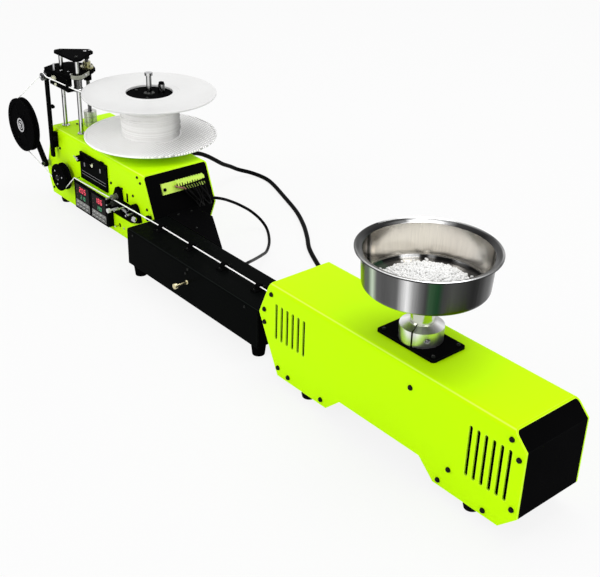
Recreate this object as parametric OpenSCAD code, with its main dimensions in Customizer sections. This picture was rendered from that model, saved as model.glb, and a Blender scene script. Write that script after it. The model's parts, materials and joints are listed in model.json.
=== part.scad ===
// Filament extrusion line: a screw extruder, a cooling trough and a winder in one row.
// Millimetres, +Z up. Modules draw in the row's own frame: X from the extruder's nose,
// Y from the extruder's front plate, Z from the bench. inRow() moves that frame so that
// the finished row is centred over the origin.

/* [Housings] */
// Height of both housings above their feet
house_h = 117; // [100:1:150]
// Height of the housing feet
foot_h = 12; // [8:1:16]
// Diameter of the housing feet
foot_d = 18; // [12:1:22]
// Thickness of the folded sheet
sheet = 2; // [1:0.1:3]
// Outer radius of the sheet's folds
bend_r = 6; // [4:0.5:9]

/* [Extruder housing] */
// Length over nose and tail
ext_len = 398; // [360:1:520]
// Depth from front plate to back plate
ext_depth = 95; // [84:1:120]
// How far the top of the nose leans back
nose_lean = 19; // [10:1:26]
// How far the nose's point is below the top
nose_drop = 45; // [30:1:52]
// How far the foot of the nose tucks under
nose_tuck = 36; // [20:1:42]
// Where the belly's arch starts, from the nose
arch_start = 123; // [110:1:140]
// Where the belly's arch ends, from the tail
arch_end = 108; // [96:1:116]
// Rise of the belly's arch
arch_rise = 20; // [10:1:26]
// Run of the arch's slanted ends
arch_run = 22; // [12:1:30]
// How far the top of the tail leans in
tail_lean = 18; // [10:1:24]
// Depth of the tail's upper chamfer
tail_drop = 18; // [10:1:24]
// Size of the tail's lower chamfer
heel = 21; // [12:1:24]

/* [Vents] */
// Slots in each group
vent_count = 6; // [3:1:6]
// Distance between slots
vent_pitch = 9.8; // [9:0.1:11]
// Width of a slot
vent_w = 4.4; // [3:0.1:5]
// Height of the slots near the nose
nose_vent_h = 47; // [30:1:50]
// Height of the slots near the tail
tail_vent_h = 60; // [30:1:62]
// First slot from the nose
nose_vent_x = 32; // [28:1:40]
// Last slot from the tail
tail_vent_x = 18; // [14:1:24]

/* [Screw and drive] */
// Diameter of the screw barrel
barrel_d = 28; // [22:1:34]
// Diameter of the heater bands
band_d = 38; // [35:1:42]
// Width of a heater band
band_w = 30; // [20:1:34]
// Diameter of the drive motor
motor_d = 62; // [50:1:70]
// Gap between the drive motor and the tail
motor_gap = 28; // [20:1:40]
// Diameter of the die's tip
die_d = 14; // [10:1:18]

/* [Hopper] */
// Hopper centre from the nose
hopper_x = 214; // [200:1:230]
// Outer radius of the pan's wall
pan_r = 69; // [60:1:76]
// Height of the pan
pan_h = 44; // [34:1:54]
// How much narrower the pan is at its foot
pan_taper = 2; // [0:0.5:4]
// Radius of the pan's lower bend
pan_bend = 6; // [4:1:12]
// How far the pan's lip stands out
rim_out = 7; // [4:0.5:9]
// Height of the pan's lip
rim_h = 4; // [3.5:0.5:7]
// Thickness of the pan
pan_wall = 1.5; // [1.2:0.1:2]
// Diameter of the feed neck
neck_d = 26; // [20:1:32]
// Length of neck that shows above the collar
neck_h = 40; // [30:1:50]
// Diameter of the clamp collar
collar_d = 48; // [40:1:54]
// Height of the collar's straight part
collar_h = 17; // [14:1:28]
// Height of the collar's conical top
collar_cone = 4; // [3:1:12]
// Direction of the collar's slit
slit_angle = -71; // [-90:1:-50]
// Length of the square flange plate
flange_l = 84; // [70:1:90]
// Width of the square flange plate
flange_w = 50; // [49:1:56]
// Thickness of the flange plate
flange_t = 3; // [2:0.5:5]
// Radius of the heap of pellets
heap_r = 50; // [40:1:56]
// Height of the heap of pellets
heap_h = 16; // [10:1:20]

/* [Trough] */
// Length of the cooling trough
trough_len = 295; // [250:1:360]
// Width of the cooling trough
trough_w = 69; // [56:1:80]
// Height of the trough's body
trough_h = 54; // [46:1:54]
// Gap between the trough and the extruder's nose
nose_gap = 20; // [16:1:30]
// Gap between the trough and the winder's end
tail_gap = 3; // [2:0.5:8]
// Height of the filament above the trough's top
line_rise = 5; // [4:0.5:8]
// Number of filament guides
guide_count = 4; // [2:1:4]
// Distance between filament guides
guide_pitch = 73; // [55:1:80]
// First guide from the trough's near end
guide_set = 41; // [20:1:50]
// Height of the thumbscrew above the trough's floor
knob_rise = 31; // [20:1:40]
// How far the thumbscrew stands out
knob_out = 22; // [16:1:26]

/* [Filament] */
// Diameter of the filament
fil_d = 1.75; // [1.5:0.05:3]
// Gap around the filament in a guide
fil_gap = 0.3; // [0.2:0.05:0.5]

/* [Winder housing] */
// Length over the winder's ends
win_len = 313; // [300:1:380]
// Depth of the winder
win_depth = 110; // [100:1:130]
// Winder's front plate behind the extruder's
win_set = 58; // [56:1:62]
// Lean of the winder's far end
far_lean = 26; // [16:1:32]
// How far the far end's point is below the top
far_drop = 79; // [60:1:90]
// Tuck of the far end's foot
far_tuck = 14; // [8:1:20]
// Lean of the winder's near end
near_lean = 24; // [16:1:30]
// How far the near end's point is below the top
near_drop = 58; // [50:1:70]
// Tuck of the near end's foot
near_tuck = 24; // [14:1:30]
// Front wheel from the far end
wheel_set = 69; // [66:1:72]
// Guide post from the far end
post_set = 41; // [40:1:42]
// Display from the far end
display_set = 105; // [103:1:107]
// Control board from the far end
board_set = 116; // [100:1:120]
// Puller from the far end
puller_set = 225; // [223:1:230]
// How far the link deck reaches behind the trough
deck_back = 50; // [30:1:60]
// Length of the link deck's slanted edge
deck_taper = 91; // [60:1:110]
// Length of the link deck's straight edge
deck_flat = 42; // [20:1:60]

/* [Spool] */
// Radius of the spool's flanges
spool_r = 100; // [80:1:101]
// Height of the spool
spool_h = 68; // [55:1:75]
// Thickness of a flange
flange_thin = 3; // [2:0.5:4]
// Radius of the spool's core
core_r = 39; // [37:1:42]
// Radius of the wound filament
wound_r = 45; // [43:1:60]
// Radius of the spool's bore
bore_r = 35; // [28:1:36]
// Thickness of the turntable under the spool
table_h = 6; // [4:1:10]
// Running gap between the turntable and the winder's top
table_gap = 7; // [4:1:8]
// Diameter of the spindle
spindle_d = 8; // [6:1:12]
// Spindle's reach above the spool
spindle_up = 29; // [20:1:40]
// Diameter of the drive peg
peg_d = 10; // [8:1:12]
// Drive peg's reach above the hub
peg_up = 13; // [10:1:24]
// Radius of the turntable
table_r = 48; // [40:1:60]
// Spool axis from the second guide rod
spool_dx = 97; // [95:1:104]
// Spool axis behind the winder's front plate
spool_back = 83; // [78:1:90]

/* [Traverse] */
// Diameter of the guide rods
rod_d = 6.5; // [6:0.5:9]
// Height of the rods above the winder
rod_h = 116; // [100:1:130]
// First rod from the winder's far end
rod_x = 39; // [38:1:41]
// Distance between the rods
rod_span = 49; // [47:1:50]
// Rods behind the winder's front plate
rod_back = 18.5; // [18:0.5:19.5]
// Lead screw beside the first rod
screw_dx = 22; // [18:1:24]
// Lead screw behind the rods
screw_dy = 32; // [30:1:34]
// Diameter of the shaft coupling
coupling_d = 20; // [16:1:22]
// Height of the shaft coupling
coupling_h = 24; // [18:1:26]
// Carriage plate's height above the winder
carriage_z = 87; // [84:1:90]
// Thickness of the carriage plate
carriage_t = 5; // [4:0.5:6]
// Length of the rod bearings
bearing_l = 23; // [18:1:24]
// How far the filament eye hangs under the carriage plate
eye_drop = 10; // [9:1:12]
// Fall of the filament from the eye to the winding
lay_drop = 14; // [12:1:20]
// Running gap on the rods
slide_gap = 0.05; // [0.03:0.01:0.1]

/* [Filament path] */
// Radius of the dancer wheel
dancer_r = 43; // [36:1:44]
// Width of the dancer wheel
dancer_w = 11; // [8:1:12]
// Length of the dancer arm
dancer_arm_l = 70; // [66:1:76]
// Rest angle of the dancer arm above level
dancer_angle = 52; // [46:1:56]
// Radius of the front wheel
front_r = 21.5; // [16:0.5:22]
// Width of the front wheel
front_w = 12; // [8:1:12]
// Depth of the grooves
groove = 4; // [2:0.5:5]
// Depth of the recess in the dancer wheel's faces
dish = 1.5; // [0.5:0.5:2.5]
// Height of the guide post's top above the winder
post_up = 91; // [89:1:93]
// How far the guide post reaches down the front
post_down = 45; // [40:1:50]
// Radius of the guide pulley
pulley_r = 6; // [5:0.5:7]
// Radius of the puller's rollers
puller_r = 4; // [3.5:0.5:5]
// How far the filament falls from the last guide to the rollers
nip_drop = 3; // [2:0.5:4]

/* [Panels] */
// Size of a temperature controller's face
meter = 48; // [40:1:50]
// How far the display stands out
display_out = 10; // [8:1:10]
// Length of the control board
board_l = 77; // [60:1:80]
// Height of the control board
board_h = 43; // [36:1:44]

/* [Hidden] */
$fn = 64;
eps = 0.01;
pin_gap = 0.05;
seat = 0.3;

top_z = foot_h + house_h;
line_y = ext_depth / 2;
trough_top = foot_h + 5 + trough_h;
line_z = trough_top + line_rise;
trough_x1 = -nose_gap;
trough_x0 = trough_x1 - trough_len;
win_x1 = trough_x0 - tail_gap;
win_x0 = win_x1 - win_len;
win_y0 = win_set;
win_y1 = win_set + win_depth;

// outlines of the housings, X and Z, from the top of the near-left corner round by the foot
ext_outline = [
    [nose_lean, top_z], [0, top_z - nose_drop], [nose_tuck, foot_h],
    [arch_start, foot_h], [arch_start + arch_run, foot_h + arch_rise],
    [ext_len - arch_end - arch_run, foot_h + arch_rise], [ext_len - arch_end, foot_h],
    [ext_len - heel, foot_h], [ext_len, foot_h + heel],
    [ext_len, top_z - tail_drop], [ext_len - tail_lean, top_z]];
win_outline = [
    [win_x0 + far_lean, top_z], [win_x0, top_z - far_drop], [win_x0 + far_tuck, foot_h],
    [win_x1 - near_tuck, foot_h], [win_x1, top_z - near_drop], [win_x1 - near_lean, top_z]];

spool_y = win_y0 + spool_back;
spool_z0 = top_z + table_gap + table_h;
spool_z1 = spool_z0 + spool_h;
rod1_x = win_x0 + rod_x;
rod2_x = rod1_x + rod_span;
spool_x = rod2_x + spool_dx;
rod_y = win_y0 + rod_back;
screw_x = rod1_x + screw_dx;
screw_y = rod_y + screw_dy;
rod_top = top_z + rod_h;
car_z0 = top_z + carriage_z;
car_z1 = car_z0 + carriage_t;
fil_r = fil_d / 2;

front_x = win_x0 + wheel_set;
front_z = foot_h + 47;
front_y = win_y0 - 12;
front_groove = front_r - groove;
pivot_x = win_x0 + 9;
pivot_z = foot_h + 50;
arm_y1 = win_y0 - 5;
arm_t = 5;
dancer_y = arm_y1 - arm_t - 2.5 - dancer_w / 2;
dancer_x = pivot_x - dancer_arm_l * cos(dancer_angle);
dancer_z = pivot_z + dancer_arm_l * sin(dancer_angle);
dancer_groove = dancer_r - groove;
post_x = win_x0 + post_set;
post_w = 8;
post_t = 4;
post_y0 = win_y0 - 11;
post_top = top_z + post_up;
pulley_x = post_x + 3;
pulley_z = post_top - 5;
pulley_w = 6;
pulley_y = post_y0 - 1.5 - pulley_w / 2;
eye_x = rod2_x - 3;
eye_y = rod_y - 15;
eye_z = car_z0 - eye_drop;
puller_x = win_x0 + puller_set;
nip_z = line_z - nip_drop;
last_guide_x = trough_x1 - guide_set - (guide_count - 1) * guide_pitch;
roller_y0 = line_y - 4;
display_x0 = win_x0 + display_set;
display_z0 = foot_h + 8;
display_l = 2 * meter + 2;
display_h = meter - 1;
board_x0 = win_x0 + board_set;
board_z0 = top_z - 15 - board_h;

die_out = 4;

// the row's middle, taken over everything but the two loose cables
row_x0 = dancer_x - dancer_r;
row_y0 = line_y - pan_r - rim_out;
row_y1 = spool_y + spool_r;
mid_x = (row_x0 + ext_len) / 2;
mid_y = (row_y0 + row_y1) / 2;

function unit(v) = v / norm(v);
function sideways(a, b) = let (d = unit(b - a)) [-d[1], d[0]];
// an open outline moved inwards by t, with mitred corners
function inset(p, t) = let (n = len(p) - 1) [for (i = [0:n])
    let (a = sideways(p[max(i - 1, 0)], p[max(i, 1)]),
         b = sideways(p[min(i, n - 1)], p[min(i + 1, n)]))
    p[i] + t * (a + b) / (1 + a * b)];
function pick(p, a, b) = [for (i = [a:b]) p[i]];

module inRow() translate([-mid_x, -mid_y, 0]) children();
// extrudes an X-Z outline from y0 to y1
module across(y0, y1) translate([0, y1, 0]) rotate([90, 0, 0]) linear_extrude(y1 - y0) children();
// extrudes a Y-Z outline from x0 to x1
module along(x0, x1) translate([x0, 0, 0]) rotate([90, 0, 90]) linear_extrude(x1 - x0) children();
// a round bar along Y
module barY(x, y0, y1, z, r) translate([x, y0, z]) rotate([-90, 0, 0]) cylinder(r = r, h = y1 - y0);
// a round bar along X
module barX(x0, x1, y, z, r) translate([x0, y, z]) rotate([0, 90, 0]) cylinder(r = r, h = x1 - x0);
module bar(x, y, z0, z1, r) translate([x, y, z0]) cylinder(r = r, h = z1 - z0);
module block(a, b) translate(a) cube(b - a);
module strip(p, t) { q = inset(p, t); polygon(concat(p, [for (i = [len(q) - 1:-1:0]) q[i]])); }
// upright section with two rounded top corners
module archway(y0, y1, z1, r) {
    translate([y0, 0]) square([y1 - y0, z1 - r]);
    translate([y0 + r, z1 - r - eps]) square([y1 - y0 - 2 * r, r + eps]);
    for (y = [y0 + r, y1 - r]) translate([y, z1 - r]) circle(r);
}
module roundedPlate(x0, x1, y0, y1, r) {
    translate([x0 + r, y0]) square([x1 - x0 - 2 * r, y1 - y0]);
    translate([x0, y0 + r]) square([x1 - x0, y1 - y0 - 2 * r]);
    for (x = [x0 + r, x1 - r]) for (y = [y0 + r, y1 - r]) translate([x, y]) circle(r);
}
// folded sheet: front plate, top and back plate, with ends cut to the outline
module foldedHood(outline, x0, x1, y0, y1) intersection() {
    across(y0, y1) polygon(outline);
    along(x0, x1) difference() {
        archway(y0, y1, top_z, bend_r);
        translate([0, -eps]) archway(y0 + sheet, y1 - sheet, top_z - sheet, bend_r - sheet);
    }
}
// folded end or base panel between the hood's plates
module foldedPanel(outline, x0, x1, y0, y1) intersection() {
    across(y0, y1) strip(outline, sheet);
    along(x0, x1) archway(y0 + sheet, y1 - sheet, top_z - sheet, bend_r - sheet);
}
module ventSlot(x, z0, z1) across(-eps, ext_depth + eps) {
    translate([x - vent_w / 2, z0 + vent_w / 2]) square([vent_w, z1 - z0 - vent_w]);
    for (z = [z0 + vent_w / 2, z1 - vent_w / 2]) translate([x, z]) circle(vent_w / 2, $fn = 24);
}

// ---- extruder ----
nose_panel = pick(ext_outline, 0, 2);
base_panel = pick(ext_outline, 2, 7);
tail_panel = pick(ext_outline, 7, 10);

module extruder_hood() color("greenyellow") inRow() difference() {
    foldedHood(ext_outline, 0, ext_len, 0, ext_depth);
    for (i = [0:vent_count - 1]) {
        ventSlot(nose_vent_x + i * vent_pitch, top_z - 22 - nose_vent_h, top_z - 22);
        ventSlot(ext_len - tail_vent_x - i * vent_pitch, top_z - 24 - tail_vent_h, top_z - 24);
    }
    bar(hopper_x, line_y, top_z - sheet - 1, top_z + 1, neck_d / 2 + seat);
}
module extruder_end_panels() color("black") inRow() {
    difference() {
        foldedPanel(nose_panel, 0, ext_len, 0, ext_depth);
        barX(-die_d, nose_tuck, line_y, line_z, die_d / 2 + seat);
    }
    foldedPanel(tail_panel, 0, ext_len, 0, ext_depth);
}
module extruder_base() color("black") inRow() difference() {
    foldedPanel(base_panel, 0, ext_len, 0, ext_depth);
    foldedPanel(nose_panel, 0, ext_len, 0, ext_depth);
    foldedPanel(tail_panel, 0, ext_len, 0, ext_depth);
}
module foot(x, y) {
    bar(x, y, foot_h / 3, foot_h, foot_d / 2);
    translate([x, y, 0]) cylinder(r1 = foot_d / 2 - 1, r2 = foot_d / 2, h = foot_h / 3);
}
module housing_feet() color("black") inRow() {
    for (x = [(nose_tuck + arch_start) / 2, ext_len - (heel + arch_end) / 2])
        for (y = [sheet + foot_d / 2 + 2, ext_depth - sheet - foot_d / 2 - 2]) foot(x, y);
    for (x = [win_x0 + far_tuck + 20, win_x1 - near_tuck - 20])
        for (y = [win_y0 + sheet + foot_d / 2 + 2, win_y1 - sheet - foot_d / 2 - 2]) foot(x, y);
}
module screw_barrel() color("silver") inRow() {
    barX(-die_out, 20, line_y, line_z, die_d / 2);
    difference() {
        union() {
            barX(20, hopper_x + 30, line_y, line_z, barrel_d / 2);
            for (i = [0:2]) barX(40 + i * (band_w + 12), 40 + i * (band_w + 12) + band_w, line_y, line_z, band_d / 2);
            block([hopper_x - 25, line_y - 25, line_z - 25], [hopper_x + 25, line_y + 25, line_z + 25]);
        }
        bar(hopper_x, line_y, line_z, line_z + 30, neck_d / 2 + seat);
    }
    for (y = [line_y - 20, line_y + 20])
        block([hopper_x - 10, y - 5, foot_h + arch_rise + sheet], [hopper_x + 10, y + 5, line_z - 25]);
}
module drive_motor() color("dimgray") inRow() {
    block([hopper_x + 30, line_y - 30, line_z - 30], [hopper_x + 60, line_y + 30, line_z + 30]);
    barX(hopper_x + 60, ext_len - motor_gap, line_y, line_z, motor_d / 2);
}

// ---- hopper ----
flange_z = top_z;
collar_z = flange_z + flange_t;
cone_z = collar_z + collar_h;
neck_top = cone_z + collar_cone + neck_h;
pan_z1 = neck_top + pan_h;
module hopper_flange() color("black") inRow() difference() {
    translate([0, 0, flange_z]) linear_extrude(flange_t)
        roundedPlate(hopper_x - flange_l / 2, hopper_x + flange_l / 2,
            line_y - flange_w / 2, line_y + flange_w / 2, 4);
    bar(hopper_x, line_y, flange_z - 1, collar_z + 1, neck_d / 2 + seat);
}
module hopper_collar() color("silver") inRow() difference() {
    translate([hopper_x, line_y, 0]) rotate_extrude() polygon([
        [neck_d / 2 + pin_gap, collar_z], [collar_d / 2, collar_z], [collar_d / 2, cone_z],
        [neck_d / 2 + 2, cone_z + collar_cone], [neck_d / 2 + pin_gap, cone_z + collar_cone]]);
    translate([hopper_x, line_y, 0]) {
        rotate(slit_angle) block([0, -1, collar_z - 1], [collar_d, 1, cone_z + collar_cone + 1]);
        for (a = [40, 140]) rotate(slit_angle + a) barX(collar_d / 2 - 5, collar_d / 2 + 1, 0, collar_z + 9, 3);
    }
}
module hopper_neck() color("silver") inRow() difference() {
    bar(hopper_x, line_y, line_z + 14.5, neck_top, neck_d / 2);
    bar(hopper_x, line_y, line_z + 14, neck_top + 1, neck_d / 2 - 2);
}
// half of the pan's section, from the neck's bore out and up to the rim and back inside
function arc(c, r, a0, a1) = [for (i = [0:6]) let (a = a0 + (a1 - a0) * i / 6) c + r * [cos(a), sin(a)]];
foot_r = pan_r - pan_taper;
pan_section = concat(
    [[neck_d / 2 - 2, neck_top]], arc([foot_r - pan_bend, neck_top + pan_bend], pan_bend, -90, 0),
    [[pan_r, pan_z1 - rim_h], [pan_r + 2.5, pan_z1 - rim_h + 1], [pan_r + rim_out - 1, pan_z1 - 2.6],
        [pan_r + rim_out, pan_z1 - 2], [pan_r + rim_out, pan_z1 - 0.6], [pan_r + rim_out - 1, pan_z1],
        [pan_r + rim_out - 2.4, pan_z1 - 0.7], [pan_r + 1.5, pan_z1 - rim_h + 2.4],
        [pan_r - pan_wall, pan_z1 - rim_h + 0.6]],
    arc([foot_r - pan_bend, neck_top + pan_bend], pan_bend - pan_wall, 0, -90),
    [[neck_d / 2 - 2, neck_top + pan_wall]]);
module hopper_pan() color("silver") inRow() translate([hopper_x, line_y, 0])
    rotate_extrude($fn = 96) polygon(pan_section);
module pellet_heap() color("white") inRow() translate([hopper_x, line_y, neck_top + pan_wall]) rotate_extrude()
    polygon([[0, 0], [heap_r, 0], [heap_r * 0.9, heap_h * 0.3], [heap_r * 0.6, heap_h * 0.75],
        [heap_r * 0.3, heap_h * 0.95], [0, heap_h]]);

// ---- trough ----
trough_y0 = line_y - trough_w / 2;
trough_y1 = line_y + trough_w / 2;
trough_z0 = trough_top - trough_h;
module trough_cover() color("black") inRow() along(trough_x0, trough_x1) difference() {
    archway(trough_y0, trough_y1, trough_top, 3);
    translate([0, -eps]) archway(trough_y0 + sheet, trough_y1 - sheet, trough_top - sheet, 1);
    translate([trough_y0 - 1, -eps]) square([trough_w + 2, trough_z0 + eps]);
}
module trough_base() color("black") inRow() {
    block([trough_x0, trough_y0 + sheet, trough_z0], [trough_x1, trough_y1 - sheet, trough_z0 + sheet]);
    for (x = [trough_x0, trough_x1 - sheet])
        block([x, trough_y0 + sheet, trough_z0 + sheet], [x + sheet, trough_y1 - sheet, trough_top - sheet - 1]);
}
module trough_feet() color("black") inRow()
    for (x = [trough_x0 + 12, trough_x1 - 12]) for (y = [trough_y0 + 12, trough_y1 - 12])
        translate([x, y, 0]) cylinder(d1 = 16, d2 = 20, h = trough_z0, $fn = 32);
module trough_knob() color("wheat") inRow() {
    knob_x = (trough_x0 + trough_x1) / 2;
    barY(knob_x, trough_y0 - knob_out + 4, trough_y0, trough_z0 + knob_rise, 1.6);
    barY(knob_x, trough_y0 - knob_out, trough_y0 - knob_out + 4, trough_z0 + knob_rise, 3.5);
}
module filament_guides() color("black") inRow()
    for (i = [0:guide_count - 1]) {
        x = trough_x1 - guide_set - i * guide_pitch;
        difference() {
            union() {
                block([x - 5, line_y - 10, trough_top], [x + 5, line_y + 10, trough_top + 2]);
                translate([0, 0, trough_top + 1]) along(x - 3, x + 3) archway(line_y - 5, line_y + 5, line_rise + 3, 4.5);
            }
            barX(x - 6, x + 6, line_y, line_z, fil_r + fil_gap);
        }
    }
module link_deck() color("black") inRow() translate([0, 0, trough_top - 2]) linear_extrude(2)
    polygon([[win_x1, trough_y1], [win_x1, trough_y1 + deck_back], [win_x1 + deck_flat, trough_y1 + deck_back],
        [win_x1 + deck_flat + deck_taper, trough_y1]]);

// ---- winder ----
far_panel = pick(win_outline, 0, 2);
floor_panel = pick(win_outline, 2, 3);
near_panel = pick(win_outline, 3, 5);
module winder_hood() color("greenyellow") inRow() difference() {
    foldedHood(win_outline, win_x0, win_x1, win_y0, win_y1);
    bar(spool_x, spool_y, top_z - sheet - 1, top_z + 1, spindle_d / 2 + pin_gap);
}
module winder_end_panels() color("black") inRow() {
    foldedPanel(near_panel, win_x0, win_x1, win_y0, win_y1);
    foldedPanel(far_panel, win_x0, win_x1, win_y0, win_y1);
}
module winder_base() color("black") inRow() difference() {
    foldedPanel(floor_panel, win_x0, win_x1, win_y0, win_y1);
    foldedPanel(near_panel, win_x0, win_x1, win_y0, win_y1);
    foldedPanel(far_panel, win_x0, win_x1, win_y0, win_y1);
}
// the near end's upper facet: a frame with X down the facet and Z outwards
module onFacet() {
    angle = atan2(near_drop, near_lean);
    translate([win_x1 - near_lean, 0, top_z]) rotate([0, angle, 0]) children();
}
module terminal_block() color("palegreen") inRow() onFacet()
{
    block([18, win_y0 + 25, 0], [34, win_y0 + 97, 3]);
    block([19.5, win_y0 + 47, 3 - eps], [28, win_y0 + 95, 9]);
}
module control_board() color("black") inRow()
    block([board_x0, win_y0 - 3, board_z0], [board_x0 + board_l, win_y0, board_z0 + board_h]);
module board_knobs() color("dimgray") inRow() {
    barY(board_x0 + 12, win_y0 - 14, win_y0 - 3, board_z0 + board_h - 6, 5);
    barY(board_x0 + 33, win_y0 - 6, win_y0 - 3, board_z0 + 28, 3);
}
module display_bezel() color("black") inRow() difference() {
    block([display_x0, win_y0 - display_out, display_z0], [display_x0 + display_l, win_y0, display_z0 + display_h]);
    for (i = [0, 1]) block([display_x0 + 1.5 + i * meter, win_y0 - display_out - 1, display_z0 + 1],
        [display_x0 + meter - 0.5 + i * meter, win_y0 - 3, display_z0 + display_h - 1]);
}
module meter_unit(i) block([display_x0 + 1.5 + i * meter, win_y0 - display_out, display_z0 + 1],
    [display_x0 + meter - 0.5 + i * meter, win_y0 - 3, display_z0 + display_h - 1]);
module panel_meters() color("black") inRow() { meter_unit(0); meter_unit(1); }

// ---- puller ----
module puller_bracket() color("black") inRow() difference() {
    across(win_y0 - 6, win_y0) translate([puller_x, nip_z]) polygon([
        [-17, -26], [38, -25], [59, -18], [52, 3], [49, 6], [44, 7], [38, 4], [30, -1], [10, -1], [8, 14],
        [3, 18], [-3, 18], [-7, 10], [-13, 0], [-17, -12]]);
    for (z = [-1, 1]) barY(puller_x, win_y0 - 7, win_y0 - 2, nip_z + z * (puller_r + fil_r), 1.5 + pin_gap);
}
// pin under the filament where it comes in, and the pin the pressure roller turns on
module puller_pins() color("silver") inRow() {
    barY(puller_x + 28, line_y - 15, win_y0 - 6, nip_z - fil_r - 1.3, 1.25);
    barY(puller_x + 45, line_y - 5, win_y0 - 6, nip_z - fil_r - 6, 1.5);
}
module puller_knob() color("white") inRow() {
    barY(puller_x + 3, line_y - 10, win_y0 - 6, nip_z - 13, 1.5);
    barY(puller_x + 3, line_y - 14, line_y - 10, nip_z - 13, 3.5);
}
module puller_roller(z) {
    barY(puller_x, roller_y0, roller_y0 + 8, z, puller_r - 0.1);
    barY(puller_x, roller_y0 + 8, win_y0 - 2.3, z, 1.5);
    barY(puller_x, roller_y0 - 9, roller_y0, z, 1.2);
}
module puller_upper_roller() color("gray") inRow() puller_roller(nip_z + puller_r + fil_r);
module puller_lower_roller() color("gray") inRow() puller_roller(nip_z - puller_r - fil_r);

// ---- guide wheels ----
// a grooved wheel about Y with a bore, centred at x, y, z
module grooved(x, y, z, r, w, depth, bore) translate([x, y, z]) rotate([90, 0, 0]) rotate_extrude() polygon([
    [bore, -w / 2], [r, -w / 2], [r, -w / 2 + w / 5], [r - depth, -w / 12], [r - depth, w / 12],
    [r, w / 2 - w / 5], [r, w / 2], [bore, w / 2]]);
module front_wheel() color("black") inRow() difference() {
    grooved(front_x, front_y, front_z, front_r, front_w, groove, 4 + pin_gap);
    for (a = [15:60:315]) barY(front_x + front_r * 0.52 * cos(a), front_y - front_w, front_y + front_w,
        front_z + front_r * 0.52 * sin(a), 1.5);
}
module wheel_axles() color("silver") inRow() {
    barY(front_x, front_y - front_w / 2 - 1.5, win_y0, front_z, 4);
    barY(front_x, front_y + front_w / 2 + seat, win_y0, front_z, 7);
    barY(pivot_x, arm_y1 - arm_t - 2, win_y0, pivot_z, 3);
    barY(pivot_x, arm_y1 + seat, win_y0, pivot_z, 5);
}
module dancer_arm() color("black") inRow() {
    difference() {
        union() {
            across(arm_y1 - arm_t, arm_y1) {
                translate([pivot_x, pivot_z]) rotate(180 - dancer_angle) translate([0, -5]) square([dancer_arm_l, 10]);
                translate([pivot_x, pivot_z]) circle(6);
                translate([dancer_x, dancer_z]) circle(6);
            }
            barY(dancer_x, dancer_y - dancer_w / 2 - 1, arm_y1 - arm_t, dancer_z, 4);
        }
        barY(pivot_x, arm_y1 - arm_t - 1, arm_y1 + 1, pivot_z, 3 + pin_gap);
    }
}
module dancer_wheel() color("black") inRow() difference() {
    grooved(dancer_x, dancer_y, dancer_z, dancer_r, dancer_w, groove, 4 + pin_gap);
    for (y = [dancer_y - dancer_w / 2 - 1, dancer_y + dancer_w / 2 - dish]) difference() {
        barY(dancer_x, y, y + dish + 1, dancer_z, dancer_r - groove - 3);
        barY(dancer_x, y - 1, y + dish + 2, dancer_z, dancer_r * 0.36);
    }
    barY(dancer_x - dancer_r * 0.27, dancer_y - dancer_w, dancer_y + dancer_w, dancer_z - dancer_r * 0.66, 3);
}
module guide_post() color("black") inRow() {
    block([post_x - post_w / 2, post_y0, top_z - post_down], [post_x + post_w / 2, post_y0 + post_t, post_top]);
    block([post_x - post_w / 2, post_y0 + post_t, top_z - post_down + 15], [post_x + post_w / 2, win_y0, top_z - 6]);
    block([post_x, post_y0, pulley_z - 5], [pulley_x + 4, post_y0 + post_t, post_top]);
    barY(pulley_x, pulley_y - pulley_w / 2 - 1, post_y0, pulley_z, 2);
    for (z = [top_z - 12, post_top - 51]) {
        barX(post_x + post_w / 2 - eps, post_x + post_w / 2 + 6, post_y0 + post_t / 2, z, 1.5);
        barX(post_x + post_w / 2 + 6, post_x + post_w / 2 + 11, post_y0 + post_t / 2, z, 2.5);
    }
}
module guide_pulley() color("black") inRow()
    grooved(pulley_x, pulley_y, pulley_z, pulley_r, pulley_w, 2, 2 + pin_gap);

// ---- traverse ----
module traverse_rods() color("silver") inRow()
    for (x = [rod1_x, rod2_x]) bar(x, rod_y, top_z, rod_top, rod_d / 2);
module lead_screw() color("dimgray") inRow() bar(screw_x, screw_y, top_z, rod_top, rod_d / 2);
// clamped coupling between the winder's drive and the lead screw
module shaft_coupling() color("silver") inRow() difference() {
    bar(screw_x, screw_y, top_z, top_z + coupling_h, coupling_d / 2);
    bar(screw_x, screw_y, top_z - 1, top_z + coupling_h + 1, rod_d / 2 + pin_gap);
    for (z = [top_z + coupling_h / 3, top_z + coupling_h * 2 / 3]) difference() {
        bar(screw_x, screw_y, z - 0.5, z + 0.5, coupling_d / 2 + 1);
        bar(screw_x, screw_y, z - 1, z + 1, coupling_d / 2 - 1.5);
    }
    block([screw_x - 0.5, screw_y - coupling_d, top_z + coupling_h * 2 / 3 + 0.5], [screw_x + 0.5, screw_y, top_z + coupling_h + 1]);
}
module traverse_top() color("black") inRow() translate([0, 0, rod_top]) linear_extrude(4)
    polygon([[rod1_x - 8, rod_y - 5], [rod1_x - 3, rod_y - 9], [rod2_x + 6, rod_y - 8], [rod2_x + 10, rod_y - 4],
        [rod2_x + 9, rod_y + 3], [screw_x + 16, screw_y - 3], [screw_x + 11, screw_y + 6], [screw_x - 3, screw_y + 8],
        [rod1_x - 8, rod_y + 5]]);
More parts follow.
